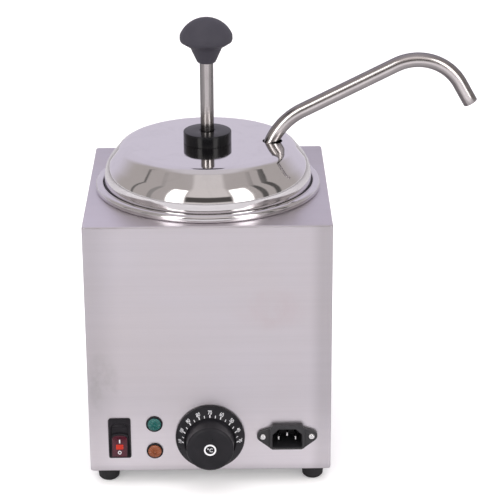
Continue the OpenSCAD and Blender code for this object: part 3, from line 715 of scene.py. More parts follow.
def boolean(mesh, cutters, operation="DIFFERENCE"):
    """The mesh with each cutter applied in turn, solved exactly."""
    obj = bpy.data.objects.new("tmp", mesh)
    scene.collection.objects.link(obj)
    tools = []
    for cutter in cutters:
        tool = bpy.data.objects.new("tool", cutter)
        scene.collection.objects.link(tool)
        tools.append(tool)
        modifier = obj.modifiers.new("b", "BOOLEAN")
        modifier.operation = operation
        modifier.solver = "EXACT"
        modifier.object = tool
    bpy.context.view_layer.update()
    graph = bpy.context.evaluated_depsgraph_get()
    out = bpy.data.meshes.new_from_object(obj.evaluated_get(graph), depsgraph=graph)
    for used in tools + [obj]:
        bpy.data.objects.remove(used)
    with editing(out) as bm:
        bmesh.ops.remove_doubles(bm, verts=bm.verts, dist=2e-7)
        bmesh.ops.dissolve_degenerate(bm, dist=2e-7, edges=bm.edges)
    return out


def text_mesh(body, size, depth, place, squeeze=1.0):
    """The built-in typeface as a closed solid, centred before it is placed."""
    curve = bpy.data.curves.new("text", "FONT")
    curve.body = body
    curve.size = size * 1.38
    curve.align_x = "CENTER"
    curve.align_y = "CENTER"
    curve.extrude = depth / 2
    curve.offset = 0.016 * size
    curve.resolution_u = 4
    obj = bpy.data.objects.new("text", curve)
    scene.collection.objects.link(obj)
    bpy.context.view_layer.update()
    graph = bpy.context.evaluated_depsgraph_get()
    mesh = bpy.data.meshes.new_from_object(obj.evaluated_get(graph))
    bpy.data.objects.remove(obj)
    xs = [v.co.x for v in mesh.vertices]
    ys = [v.co.y for v in mesh.vertices]
    mid_x, mid_y = (min(xs) + max(xs)) / 2, (min(ys) + max(ys)) / 2
    for v in mesh.vertices:
        v.co = Vector(place((v.co.x - mid_x) * squeeze, v.co.y - mid_y, v.co.z)) * MM
    return tidy(mesh)


# ------------------------------------------------------------------ housing

SHEET = 1.2             # sheet thickness
FLOOR_LIP = 20          # the floor is open inside a lip this wide
JAR_HOLE_R = 88.8
LIP_HOLE = 88.8         # centre of the small hole midway along each side of the lip
SWITCH_HOLE = (8.2, 17)
DIAL_SCREW = 14         # dial centre to the hole on either side

# corners (u, v) about the inlet's centre
INLET_HOLE = [(-14, -10.5), (14, -10.5), (14, 6.3), (12.2, 9.9), (-12.2, 9.9), (-14, 6.3)]


def folded_box(low, high, r_side, r_top, r_low, n):
    """A block with its upright, upper and, where r_low is set, lower edges rounded."""
    mesh = block(low, high)
    with editing(mesh) as bm:

        def bevel(edges, radius, steps):
            bmesh.ops.bevel(bm, geom=edges, offset=radius * MM, segments=steps, profile=0.5,
                            affect="EDGES")

        uprights = [e for e in bm.edges if abs(e.verts[0].co.z - e.verts[1].co.z) > 0.01]
        bevel(uprights, r_side, n)
        for level, radius in ((high[2], r_top), (low[2], r_low)):
            if radius:
                bm.normal_update()
                edges = [e for e in bm.edges
                         if all(abs(v.co.z - level * MM) < 1e-6 for v in e.verts)
                         and len({round(f.normal.z) for f in e.link_faces}) == 2]
                bevel(edges, radius, max(2, n - 1))
        bmesh.ops.recalc_face_normals(bm, faces=bm.faces)
    return mesh


def panel_hole(x, z, radius):
    return prism(circle(radius, 48, x, z), -SHEET - 1, 1, on_panel)


def base_hole(x, y, radius):
    return prism(circle(radius, 24, x, y), BASE_Z - 1, BASE_Z + 4, upright)


def build_shell():
    outer = folded_box((-HALF, -HALF, BASE_Z), (HALF, HALF, DECK_Z),
                       r_side=2.4, r_top=1.6, r_low=1.1, n=6)
    inner = HALF - SHEET
    opening = inner - FLOOR_LIP
    cavity = folded_box((-inner, -inner, BASE_Z + 2 * SHEET), (inner, inner, DECK_Z - SHEET),
                        r_side=1.2, r_top=0.5, r_low=0, n=4)
    half_w, half_h = SWITCH_HOLE
    cuts = [
        cavity,
        block((-opening, -opening, BASE_Z - 1), (opening, opening, BASE_Z + 2 * SHEET + 0.5)),
        # the floor sits one sheet up inside the walls
        block((-inner, -inner, BASE_Z - 1), (inner, inner, BASE_Z + SHEET)),
        prism(circle(JAR_HOLE_R, 144), DECK_Z - 9, DECK_Z + 9, upright),
        block((SWITCH_X - half_w, PANEL_Y - 1, SWITCH_Z - half_h),
              (SWITCH_X + half_w, PANEL_Y + SHEET + 1, SWITCH_Z + half_h)),
        prism(INLET_HOLE, -SHEET - 1, 1, at_inlet),
    ]
    cuts += [panel_hole(x, z, 6) for x, z in LAMPS.values()]
    cuts.append(panel_hole(DIAL_X, DIAL_Z, 5))
    for side in (-1, 1):
        cuts.append(panel_hole(DIAL_X + side * DIAL_SCREW, DIAL_Z, 2.1))
        cuts.append(panel_hole(INLET_X + side * EAR_X, INLET_Z, SCREW_HOLE_R))
    for sx in (-1, 1):
        for sy in (-1, 1):
            cuts.append(base_hole(sx * FOOT_XY, sy * FOOT_XY, FOOT_BORE))
    for x, y in ((LIP_HOLE, 0), (-LIP_HOLE, 0), (0, LIP_HOLE), (0, -LIP_HOLE)):
        cuts.append(base_hole(x, y, 1.8))
    make("housing_shell", boolean(outer, cuts), "shell_steel", "housing", ["outer_shell"],
         sharp=34, weighted=True)


def build_feet():
    # radius, height, corner radius
    profile = rounded([
        (FOOT_BORE, 5.2, 0), (4.6, 5.2, 0.3), (4.6, 0.0, 0.5), (6.3, 0.0, 1.6), (8.55, 2.2, 1.8),
        (9.15, 7.6, 0), (FOOT_R, 8.8, 0.4), (FOOT_R, BASE_Z, 0.5), (FOOT_BORE, BASE_Z, 0),
    ], n=5)
    foot = lathe(profile, 72)
    feet = []
    for sx in (-1, 1):
        for sy in (-1, 1):
            copy = foot.copy()
            copy.transform(Matrix.Translation(Vector((sx * FOOT_XY, sy * FOOT_XY, 0)) * MM))
            feet.append(copy)
    make("feet", merged(feet), "rubber_black", "housing", ["rubber_feet"])


# ------------------------------------------------------------------ jar and gasket

JAR_R = 84.6            # outside of the jar's wall
JAR_WALL = 1.0
JAR_CORNER = 11         # outer radius of the corner between wall and floor
RIM_IN = 87.2           # inside of the rim
RIM_EDGE = 2.4          # radius of the rim's inner edge


def build_jar():
    low, high = box_mm("sauce_jar")
    rim_r, top, floor = high.x, high.z, low.z
    inside = JAR_R - JAR_WALL
    corner_r, corner_z = JAR_R - JAR_CORNER, floor + JAR_CORNER
    ledge = DECK_Z + JAR_WALL
    profile = (
        [(JAR_R, DECK_Z), (rim_r - 1.6, DECK_Z)]
        + arc(rim_r - 1.6, DECK_Z + 1.6, 1.6, -90, 0, 6)
        + arc(rim_r - 3.2, top - 3.2, 3.2, 0, 90, 10)
        + arc(RIM_IN + RIM_EDGE, top - RIM_EDGE, RIM_EDGE, 90, 180, 8)
        + rounded([(RIM_IN, DECK_Z + 1.4, 0), (RIM_IN, ledge, 0.3), (inside, ledge, 0.8),
                   (inside, DECK_Z - 0.6, 0)], n=4)
        + arc(corner_r, corner_z, JAR_CORNER - JAR_WALL, 0, -90, 10)
        + [(40, floor + JAR_WALL), (0, floor + JAR_WALL), (0, floor), (40, floor)]
        + arc(corner_r, corner_z, JAR_CORNER, -90, 0, 10)
    )
    make("jar", lathe(profile, 256), "jar_steel", "jar", ["sauce_jar"], sharp=36)


def build_gasket():
    profile = rounded([
        (84.0, DECK_Z + 1, 0.3), (87.1, DECK_Z + 1, 0.4), (87.1, DECK_Z + 4.5, 0.3),
        (86.85, LID_LOW.z, 0.25), (84, LID_LOW.z, 0.3),
    ], n=3, closed=True)
    make("gasket_ring", lathe(profile, 256), "silicone_black", "gasket", ["lid_gasket"], sharp=50)


# ------------------------------------------------------------------ lid

FLAT_R = 65.5           # the flat top ends here
LID_T = 1.0             # sheet thickness
SLOPE = 51.0            # angle of the lid's slope below the horizontal
SHOULDER_R = 11.0       # bend from the flat top into the slope
SKIRT_R = 24.0          # bend from the slope into the upright skirt
TUBE_HOLE_X = TUBE_X + 5.2
TUBE_HOLE_R = 8.3


def build_lid():
    top, low, lid_r = LID_HIGH.z, LID_LOW.z, LID_HIGH.x
    slope = math.radians(SLOPE)
    shoulder_z = top - SHOULDER_R
    slope_r = FLAT_R + SHOULDER_R * math.sin(slope)
    slope_z = shoulder_z + SHOULDER_R * math.cos(slope)
    skirt_x = lid_r - SKIRT_R
    drop = (skirt_x + SKIRT_R * math.sin(slope) - slope_r) * math.tan(slope)
    skirt_z = slope_z - drop - SKIRT_R * math.cos(slope)
    bend = 90 - SLOPE
    inside = lid_r - LID_T
    profile = (
        [(15.2, top - 0.2), (15.4, top), (30, top), (48, top), (64.6, top)]
        + arc(FLAT_R, shoulder_z, SHOULDER_R, 90, bend, 18)
        + arc(skirt_x, skirt_z, SKIRT_R, bend, 0, 22)
        + [(lid_r, skirt_z - 1.2), (lid_r, low + 0.35), (lid_r - 0.35, low),
           (inside + 0.2, low), (inside, low + 0.2), (inside, skirt_z - 1.2)]
        + arc(skirt_x, skirt_z, SKIRT_R - LID_T, 0, bend, 22)
        + arc(FLAT_R, shoulder_z, SHOULDER_R - LID_T, bend, 90, 18)
        + [(radius, top - LID_T) for radius in (64.6, 48, 30, 15.2)]
    )
    hole = prism(circle(TUBE_HOLE_R, 96, TUBE_HOLE_X, 0), top - 6, top + 6, upright)
    make("lid_shell", boolean(lathe(profile, 288), [hole]), "polished_steel", "lid",
         ["pump_lid"], weighted=True)


def build_collar():
    low, high = box_mm("lock_collar")
    outside, top, base = high.x, high.z, low.z
    bore, step = 15.06, base + 7.7    # the wide lower bore and where it ends
    rod_bore = ROD_R + 0.06
    profile = rounded([
        (bore, base, 0.1), (outside, base, 0.5), (outside, top, 0.8), (ROD_R + 1.3, top, 0.3),
        (ROD_R + 0.9, top - 0.5, 0), (rod_bore, top - 0.5, 0.2), (rod_bore, step, 0),
        (bore, step, 0),
    ], n=5, closed=True)
    make("lid_collar", lathe(profile, 160), "collar_black", "lid", ["lock_collar"])


# ------------------------------------------------------------------ plunger


def build_rod():
    low, high = box_mm("push_rod")
    stem_r, step = 3, 236             # the thin lower rod and where it ends
    profile = rounded([
        (0, low.z, 0), (2.6, low.z, 0), (stem_r, low.z + 0.6, 0), (stem_r, step, 0),
        (ROD_R, step, 0.4), (ROD_R, high.z, 0), (0, high.z, 0),
    ], n=3)
    make("plunger_rod", lathe(profile, 96), "tube_steel", "plunger", ["push_rod"])


def build_knob():
    low, high = box_mm("push_knob")
    base, knob_r = low.z, high.x
    dome = arc(0, base + 13.9, 23.5, 23.4, 90, 22)
    side = rounded([
        (ROD_R + 0.05, base + 0.35, 0), (ROD_R + 0.4, base, 0.3), (6.9, base, 0.5),
        (7.85, base + 0.95, 1.2), (13.2, base + 12.8, 2.2), (knob_r - 0.5, base + 17.9, 1.3),
        (knob_r, base + 19.9, 0.5), (*dome[0], 0),
    ], n=6)[:-1]
    socket = [(0.0, base + 14.0), (ROD_R + 0.05, base + 14.0)]
    make("plunger_knob", lathe(socket + side + dome, 160), "knob_grey", "plunger", ["push_knob"],
         sharp=36)


# ------------------------------------------------------------------ pouring tube

BORE_R = 4.4
TUBE_SIDES = 72
UPRIGHT_Z = (159.0, 200.0, 235.0, DECK_Z + 16)    # stations up the straight foot

# bend radius, turn towards +X in degrees, straight length, steps
TUBE_RUNS = [
    (53.8, 63.5, 0, 40),
    (0, 0, 85.9, 4),
    (40.6, 87.0, 0, 56),
    (0, 0, 18.8, 3),
]


def tube_path():
    """Stations (x, z, heading in degrees) along the centre line, from the foot."""
    stations = [(TUBE_X, z, 90.0) for z in UPRIGHT_Z]
    x, z, heading = stations[-1]
    for radius, turn, length, steps in TUBE_RUNS:
        step = turn / steps
        chord = 2 * radius * math.sin(math.radians(step / 2)) + length / steps
        for _ in range(steps):
            direction = math.radians(heading - step / 2)
            x += chord * math.cos(direction)
            z += chord * math.sin(direction)
            heading -= step
            stations.append((x, z, heading))
    return stations


def build_tube():
    outer = box_mm("pouring_tube")[1].y
    path = tube_path()
    foot, middle, mouth = path[0], path[1:-1], path[-1]
    # station, radius, slide along the tube: up the outside, round the mouth, down the bore
    rings = [(foot, BORE_R + 0.25, 0), (foot, outer - 0.3, 0), (foot, outer, 0.3)]
    rings += [(station, outer, 0) for station in middle]
    rings += [(mouth, outer, -0.35), (mouth, outer - 0.1, -0.1), (mouth, outer - 0.32, 0),
              (mouth, BORE_R + 0.2, 0), (mouth, BORE_R, -0.25)]
    rings += [(station, BORE_R, 0) for station in reversed(middle)]
    rings += [(foot, BORE_R, 0.3)]
    verts = []
    for (x, z, heading), radius, slide in rings:
        along = Vector((math.cos(math.radians(heading)), 0, math.sin(math.radians(heading))))
        normal = Vector((-along.z, 0, along.x))
        base = Vector((x, 0, z)) + along * slide
        for i in range(TUBE_SIDES):
            angle = 2 * math.pi * i / TUBE_SIDES
            sideways = Vector((0, 1, 0)) * (radius * math.sin(angle))
            verts.append(tuple(base + normal * (radius * math.cos(angle)) + sideways))
    mesh = to_mesh(verts, bands(len(rings), TUBE_SIDES, closed=True))
    make("spout_tube", mesh, "tube_steel", "lid", ["pouring_tube"])


# ------------------------------------------------------------------ thermostat dial

# the cone that carries the scale: (radius, height) of its outer and inner edges
CONE_OUTER = Vector((DIAL_R - 0.5, 3.1))
CONE_INNER = Vector((21.6, 9.4))
CONE_LEN = (CONE_INNER - CONE_OUTER).length
CONE_DIR = (CONE_INNER - CONE_OUTER).normalized()
CONE_OUT = Vector((CONE_DIR.y, -CONE_DIR.x))

SCALE_START = -92       # degrees from the top to the first mark
SCALE_STEP = 23         # degrees between marks 10 degrees of heat apart
FACE_H = GRIP_H - 0.6   # the recess in the grip's face


def build_dial():
    back = GRIP_H - 3.2
    profile = rounded([
        (0, FACE_H, 0), (5.25, FACE_H, 0.15), (5.25, GRIP_H, 0.2), (17.3, GRIP_H, 2.2),
        (19.3, GRIP_H - 1.5, 1.6), (19.7, 8.2, 0.5), (20.9, 8.2, 0.4), (20.95, 9.15, 0.3),
        (*CONE_INNER, 0.35), (*CONE_OUTER, 0.9), (DIAL_R, 2.2, 0.5), (DIAL_R, 0.8, 0.3),
        (DIAL_R - 2, 0.8, 0.3), (DIAL_R - 3.4, 2.6, 0.4), (17.5, 6.4, 0.4), (17.2, back, 0.4),
        (7, back, 0), (7, 4, 0), (3.1, 4, 0), (3.1, 18.2, 0), (0, 18.2, 0),
    ], n=6)
    make("dial_body", lathe(profile, 216, at_dial), "dial_black", "dial", ["dial_knob"])


def on_cone(up_slope, across, degrees, lift):
    """A point up the slope from its outer edge, at degrees clockwise from the top."""
    p = CONE_OUTER + CONE_DIR * up_slope + CONE_OUT * lift
    angle = math.radians(90 - degrees)
    out_x, out_z = math.cos(angle), math.sin(angle)
    return (DIAL_X + out_x * p.x + out_z * across, PANEL_Y - p.y,
            DIAL_Z + out_z * p.x - out_x * across)


def tick(degrees, start, width):
    """A raised line; start is where it begins, as a part of the slope."""
    low, high, half = CONE_LEN * start, CONE_LEN * 0.985, width / 2
    outline = [(-half, low), (half, low), (half, high), (-half, high)]
    return prism(outline, -0.12, 0.07, lambda u, v, h: on_cone(v, u, degrees, h))


def build_scale():
    marks = []
    text_at = CONE_LEN * 0.475
    for i in range(9):
        degrees = SCALE_START + SCALE_STEP * i
        label = str(110 - 10 * i)
        marks.append(tick(degrees, start=0.70, width=0.85))
        marks.append(text_mesh(
            label, size=3.5, depth=0.19,
            place=lambda x, y, z: on_cone(text_at - y, x, degrees, z - 0.025),
            squeeze=0.72 if len(label) == 2 else 0.52))
    for i in range(8):
        marks.append(tick(SCALE_START + SCALE_STEP * (i + 0.5), start=0.74, width=0.55))
    make("dial_scale", merged(marks), "dial_white", "dial", sharp=30, look="print_white")


def build_badge():
    """A white ring round a black face with a degree mark, in the middle of the grip."""
    ring = rounded([
        (3.7, FACE_H, 0), (5.0, FACE_H, 0), (5.0, FACE_H + 0.95, 0.3),
        (3.95, FACE_H + 0.95, 0.2), (3.7, FACE_H + 0.6, 0.1),
    ], n=4, closed=True)
    make("dial_badge_ring", lathe(ring, 96, at_dial), "dial_white", "dial", ["dial_cap"])
    disc = [(0, FACE_H), (3.75, FACE_H), (3.75, FACE_H + 0.4), (3.6, FACE_H + 0.52),
            (0, FACE_H + 0.55)]
    make("dial_badge_face", lathe(disc, 72, at_dial), "dial_black", "dial")
    mark = text_mesh("°C", size=3.3, depth=0.2,
                     place=lambda x, y, z: at_dial(x, y, FACE_H + 0.58 + z))
    make("dial_badge_mark", mark, "dial_white", "dial", sharp=30, look="print_white")


# ------------------------------------------------------------------ power switch
# The rocker is drawn upright about its pivot and then tilted, upper end inwards.

TILT = Matrix.Rotation(math.radians(-10), 4, "X")
PIVOT = Matrix.Translation(Vector((SWITCH_X, PANEL_Y + 1.0, SWITCH_Z)) * MM)

# side outlines (y, z) about the pivot, with the front towards -Y
LENS_FOOT = (-5.3, -17)
LENS_FOLD = (-3.2, -1)
LENS_SIDE = [LENS_FOOT, LENS_FOLD, (-2.95, 2.2), (-2.6, 2.9), (-1.1, 2.9), (-1.1, -17)]
LOW_HALF_SIDE = [(-9, 1.0), (-9, 17), (-4.0, 17), (-3.5, 10.3), (-2.2, 9.3), (-1.9, 7.6),
                 (-1.7, 1.0)]


def build_switch_bezel():
    inner, lead = [4.4, 4.4, 0.5, 0.5], [4.6, 4.6, 0.6, 0.6]
    outer = [1.9, 2.6, 1.5, 1.5]
    # outline, height off the panel: up the inside, over the lip, back down the outside
    loops = [
        (rect(7.1, 14.7, inner, cy=-1.3), -13.5),
        (rect(7.1, 14.7, inner, cy=-1.3), 1.3),
        (rect(7.45, 15.0, lead, cy=-1.3), 1.75),
        (rect(8.4, 17.05, [1.6, 2.2, 1.2, 1.2]), 2.0),
        (rect(8.95, 17.6, [1.8, 2.5, 1.4, 1.4]), 1.75),
        (rect(9.2, 17.9, outer), 1.25),
        (rect(9.4, 18.1, outer), 0.0),
        (rect(8.1, 16.8, 0.6), 0.0),
        (rect(8.1, 16.8, 0.6), -20.0),
    ]
    make("switch_bezel", loft(loops, at_switch), "switch_black", "housing", ["switch_housing"],
         sharp=28)


def at_rocker(mesh):
    mesh.transform(PIVOT @ TILT)
    return mesh


def rocker_front(u, v, h):
    return (u, -h, v)


def side_prism(width, outline):
    return prism(outline, -width / 2, width / 2, along_x)


def drum():
    """The cylinder about the pivot that bounds the rocker."""
    return side_prism(40, circle(15.8, 144))


def build_rocker_window():
    outline = prism(arch(6.15, low=-17, high=2.5, rise=2.7), -2, 9, rocker_front)
    mesh = boolean(side_prism(30, LENS_SIDE), [outline, drum()], "INTERSECT")
    bevel_mesh(mesh, width=0.28, n=2, angle=35)
    make("rocker_window", at_rocker(mesh), "rocker_red", "power_rocker", ["rocker_lens"], sharp=30)


def build_rocker_body():
    side = rounded([
        (-5.0, -17, 0), (-2.75, -0.6, 1.0), (-3.3, 2.4, 2.0), (-4.6, 12.4, 0.8),
        (3, 12.4, 0), (6, 4, 0), (6, -4, 0), (3, -17, 0),
    ], n=4, closed=True)
    outline = rect(6.9, 14.7, [4.2, 4.2, 0.4, 0.4], n=6, cy=-2.3)
    body = boolean(side_prism(13.8, side), [drum(), prism(outline, -9, 9, rocker_front)],
                   "INTERSECT")
    bevel_mesh(body, width=0.3, n=2, angle=50)
    # the upper half lies lower than the arched hood round the lens
    hood = prism(arch(7.6, low=-20, high=4.3, rise=3.4), -9, 12, rocker_front)
    body = boolean(body, [boolean(side_prism(30, LOW_HALF_SIDE), [hood])])
    recess = prism(arch(6.3, low=-20, high=2.64, rise=2.75), 1.05, 9, rocker_front)
    body = boolean(body, [recess])
    body = boolean(body, [side_prism(14.1, circle(1.0, 24))], "UNION")
    make("rocker_body", at_rocker(body), "switch_black", "power_rocker", ["rocker"], sharp=30)


def on_lens(u, v, h):
    """A point on the lens's lower slope, at height h off it."""
    slope = (LENS_FOLD[0] - LENS_FOOT[0]) / (LENS_FOLD[1] - LENS_FOOT[1])
    return (u, LENS_FOOT[0] + (v - LENS_FOOT[1]) * slope - h, v)


def build_rocker_marks():
    """The bright window, and an I above it and an O below."""
    window = prism(rect(3.0, 2.0, 0.6, n=4, cy=-7.1), -0.1, 0.10, on_lens)
    make("rocker_glow", at_rocker(window), "rocker_red", "power_rocker", sharp=30,
         look="window_red")
    low, high = -0.05, 0.10
    bar = prism(rect(0.5, 1.45, 0.1, n=2, cy=-2.5), low, high, on_lens)
    outside, inside = (circle(radius, 48, 0, -11.7) for radius in (1.5, 0.9))
    ring = loft([(outside, low), (outside, high), (inside, high), (inside, low)], on_lens,
                closed=True)
    make("rocker_marks", at_rocker(merged([bar, ring])), "dial_white", "power_rocker", sharp=30,
         look="print_white")


# ------------------------------------------------------------------ indicator lamps

# radius, height off the panel
LENS_PROFILE = [
    (0, -2.6), (4.2, -2.6), (4.2, -4), (5.15, -4), (5.15, 0.4), (5.6, 0.4), (5.6, 1.6),
    (5.45, 1.9), (5.2, 2.1), (4.9, 2.25), (4.6, 2.38), (3.8, 2.6), (3.0, 2.8), (2.2, 2.92),
    (1.5, 2.98), (1.2, 3.0), (0.8, 3.08), (0, 3.1),
]


def flutes(angle, radius, height):
    """Sixteen radial flutes between the lens's middle and its rim."""
    if height > 0.9 and 0.9 < radius < 5.2:
        return 0.34 * (abs(math.sin(angle * 8)) - 0.5)
    return 0.0


def build_lamps():
    bezel = rounded([
        (0, -16, 0), (5.9, -16, 0.4), (5.9, 0, 0), (6.9, 0, 0.2), (6.9, 1.0, 0.3), (6.5, 1.4, 0.2),
        (5.75, 1.4, 0.1), (5.75, 0.4, 0), (5.2, 0.4, 0), (5.2, -14, 0), (0, -14, 0),
    ], n=3)
    for tag, (x, z) in LAMPS.items():
        place = panel_at(x, z)
        make(f"{tag}_bezel", lathe(bezel, 72, place), "switch_black", "housing",
             [f"{tag}_lamp_holder"], sharp=36)
        make(f"{tag}_lens", lathe(LENS_PROFILE, 144, place, flutes), f"lens_{tag}", "housing",
             [f"{tag}_lamp_lens"], sharp=24)


# ------------------------------------------------------------------ mains inlet

# centre (u, v) of each pin and how far its tip stands off the panel
PINS = [(-7, -3, 0.5), (7, -3, 0.5), (0, 1, 1.5)]

# outlines (u, v) about the inlet's centre; the shroud's third column is the corner radius
SHROUD = [(-14.4, -10.6, 1.2), (14.4, -10.6, 1.2), (14.4, 6.6, 1.5), (12.4, 10.4, 1.5),
          (-12.4, 10.4, 1.5), (-14.4, 6.6, 1.5)]
BACK = [(-13.6, -10.2), (13.6, -10.2), (13.6, 6.1), (12, 9.6), (-12, 9.6), (-13.6, 6.1)]
SOCKET = [(-12, -9.1), (12, -9.1), (12, 2.1), (7, 6.9), (-7, 6.9), (-12, 2.1)]


def build_inlet():
    # round ears about the screws, tapering into the middle block
    outline = (
        arc(EAR_X, 0, 5.0, -51, 65, 14)
        + [(14.0, 7.4), (-14.0, 7.4)]
        + arc(-EAR_X, 0, 5.0, 115, 231, 14)
        + arc(-11.9, 1.0 - FLANGE_DROP, 1.0, 231, 270, 3)
        + arc(11.9, 1.0 - FLANGE_DROP, 1.0, 270, 309, 3)
    )
    flange = prism(outline, 0, 3, at_inlet)
    shroud = prism(rounded(SHROUD, n=4, closed=True), 0.0, 5.0, at_inlet)
    for mesh in (flange, shroud):
        bevel_mesh(mesh, width=0.5, n=3, angle=60)
    back = prism(BACK, -24, 1.5, at_inlet)
    socket = rounded([(u, v, 0.8) for u, v in SOCKET], n=4, closed=True)
    flared = [(u * 1.055, (v + 1.1) * 1.075 - 1.1) for u, v in socket]
    cuts = [prism(socket, -20, 8, at_inlet), loft([(socket, 4.1), (flared, 5.2)], at_inlet)]
    for u, v, _ in PINS:
        x, z = INLET_X + u, INLET_Z + v
        cuts.append(block((x - 1.05, PANEL_Y + 19, z - 2.05), (x + 1.05, PANEL_Y + 25, z + 2.05)))
    for side in (-1, 1):
        cuts.append(prism(circle(SCREW_HOLE_R, 24, side * EAR_X, 0), -2, 4, at_inlet))
    mesh = boolean(boolean(flange, [shroud, back], "UNION"), cuts)
    make("inlet_body", mesh, "inlet_black", "housing", ["inlet_housing"], sharp=30, weighted=True)


def build_pins():
    pins = []
    for u, v, tip in PINS:
        # half width, half height, corner radius, height off the panel
        stations = [(1, 2.0, 0.35, -32), (1, 2.0, 0.35, tip - 1.4),
                    (0.75, 1.65, 0.3, tip - 0.35), (0.4, 1.2, 0.2, tip)]
        pins.append(loft([(rect(half_w, half_h, radius, n=3, cx=u, cy=v), height)
                          for half_w, half_h, radius, height in stations], at_inlet))
    make("inlet_blades", merged(pins), "zinc_fastener", "housing", ["inlet_pins"], sharp=36)


def build_screws():
    """Domed screws with a tapering cross slot."""
    head_profile = rounded([(0, 3, 0), (2.6, 3, 0.15), (2.6, 3.9, 0.6), (1.9, 4.7, 0.9),
                            (0.9, 4.9, 0.5), (0, 4.9, 0)], n=4)
    stem_profile = [(0, -7), (1.2, -7), (1.5, -6.6), (1.5, 3.2), (0, 3.2)]
    screws = []
    for side in (-1, 1):
        place = panel_at(INLET_X + side * EAR_X, INLET_Z)
        slots = []
        for half_w, half_h in ((0.16, 0.9), (0.9, 0.16)):
            floor = rect(half_w * 0.35, half_h * 0.35, 0.05, n=2)
            slots.append(loft([(floor, 4.1), (rect(half_w, half_h, 0.1, n=2), 5.3)], place))
        screws.append(boolean(lathe(head_profile, 72, place), slots))
        screws.append(lathe(stem_profile, 32, place))
    make("inlet_screw_pair", merged(screws), "zinc_fastener", "housing", ["inlet_screws"],
         sharp=32)


# ------------------------------------------------------------------ return spring

COIL_R = 10.6
WIRE_R = 0.9
TURNS = 10
TURN_STEPS = 36
WIRE_SIDES = 12


def build_spring():
    low, high = box_mm("return_spring")
    length = high.z - low.z
    steps = TURN_STEPS * TURNS
    verts, faces = [], []
    for i in range(steps + 1):
        turn = 2 * math.pi * i / TURN_STEPS
        height = low.z + WIRE_R + (length - 2 * WIRE_R) * i / steps
        for j in range(WIRE_SIDES):
            angle = 2 * math.pi * j / WIRE_SIDES
            radius = COIL_R + WIRE_R * math.cos(angle)
            verts.append((radius * math.cos(turn), radius * math.sin(turn),
                          height + WIRE_R * math.sin(angle)))
            if i:
                a, b, k = (i - 1) * WIRE_SIDES, i * WIRE_SIDES, (j + 1) % WIRE_SIDES
                faces.append((a + j, b + j, b + k, a + k))
    faces.append(tuple(range(WIRE_SIDES)))
    faces.append(tuple(len(verts) - 1 - j for j in range(WIRE_SIDES)))
    spring = make("plunger_spring", to_mesh(verts, faces), "zinc_fastener", "lid",
                  ["return_spring"], sharp=60)
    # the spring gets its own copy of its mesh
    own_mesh(spring)


def dress_cad_nodes():
    """The CAD pieces that stay get the material of their slot."""
    slots = {part["node"]: part["material_slot"] for part in frame["record"]["subparts"]}
    for name, obj in frame["nodes"].items():
        obj.data.materials.clear()
        obj.data.materials.append(MATERIALS[slots[name]])


build_shell()
build_feet()
build_jar()
build_gasket()
build_lid()
build_collar()
build_rod()
build_knob()
build_tube()
build_dial()
build_scale()
build_badge()
build_switch_bezel()
build_rocker_window()
build_rocker_body()
build_rocker_marks()
build_lamps()
build_inlet()
build_pins()
build_screws()
build_spring()
dress_cad_nodes()

# ------------------------------------------------------------------ floor, in metres


def floor_pale():
    """The floor glows a little to the camera, and shows darker in polished metal."""
    k = Mat("floor_pale")
    soft = k.noise(scale=3.0, detail=3, rough=0.5)
    fine = k.noise(scale=220.0, detail=3, rough=0.6)
    colour = k.mix(k.span(soft), (0.90, 0.895, 0.90), (0.885, 0.88, 0.885))
    path = k.new("ShaderNodeLightPath")
    k.set(
        Base_Color=k.mix(path.outputs["Is Glossy Ray"], colour, (0.555, 0.55, 0.56)),
        Roughness=k.span(fine, to=(0.85, 0.95)),
        Specular_IOR_Level=0.2,
        Emission_Color=colour,
        Emission_Strength=k.mul(path.outputs["Is Camera Ray"], 0.25))
    return k.material


def build_floor():
    cells, half = 24, 6.0
    row = cells + 1
    ticks = [-half + 2 * half * i / cells for i in range(row)]
    verts = [(x, y, 0.0) for y in ticks for x in ticks]
    faces = [(j * row + i, j * row + i + 1, (j + 1) * row + i + 1, (j + 1) * row + i)
             for j in range(cells) for i in range(cells)]
    mesh = bpy.data.meshes.new("floor")
    mesh.from_pydata(verts, [], faces)
    mesh.materials.append(floor_pale())
    obj = bpy.data.objects.new("floor", mesh)
    scene.collection.objects.link(obj)


build_floor()

# ------------------------------------------------------------------ studio world

# Dark upright strips at the sides: azimuth from, azimuth to, brightness.
STRIPS = [(-92, -89, 0.16), (-70, -64, 0.30), (62, 69, 0.11), (80, 87, 0.10)]


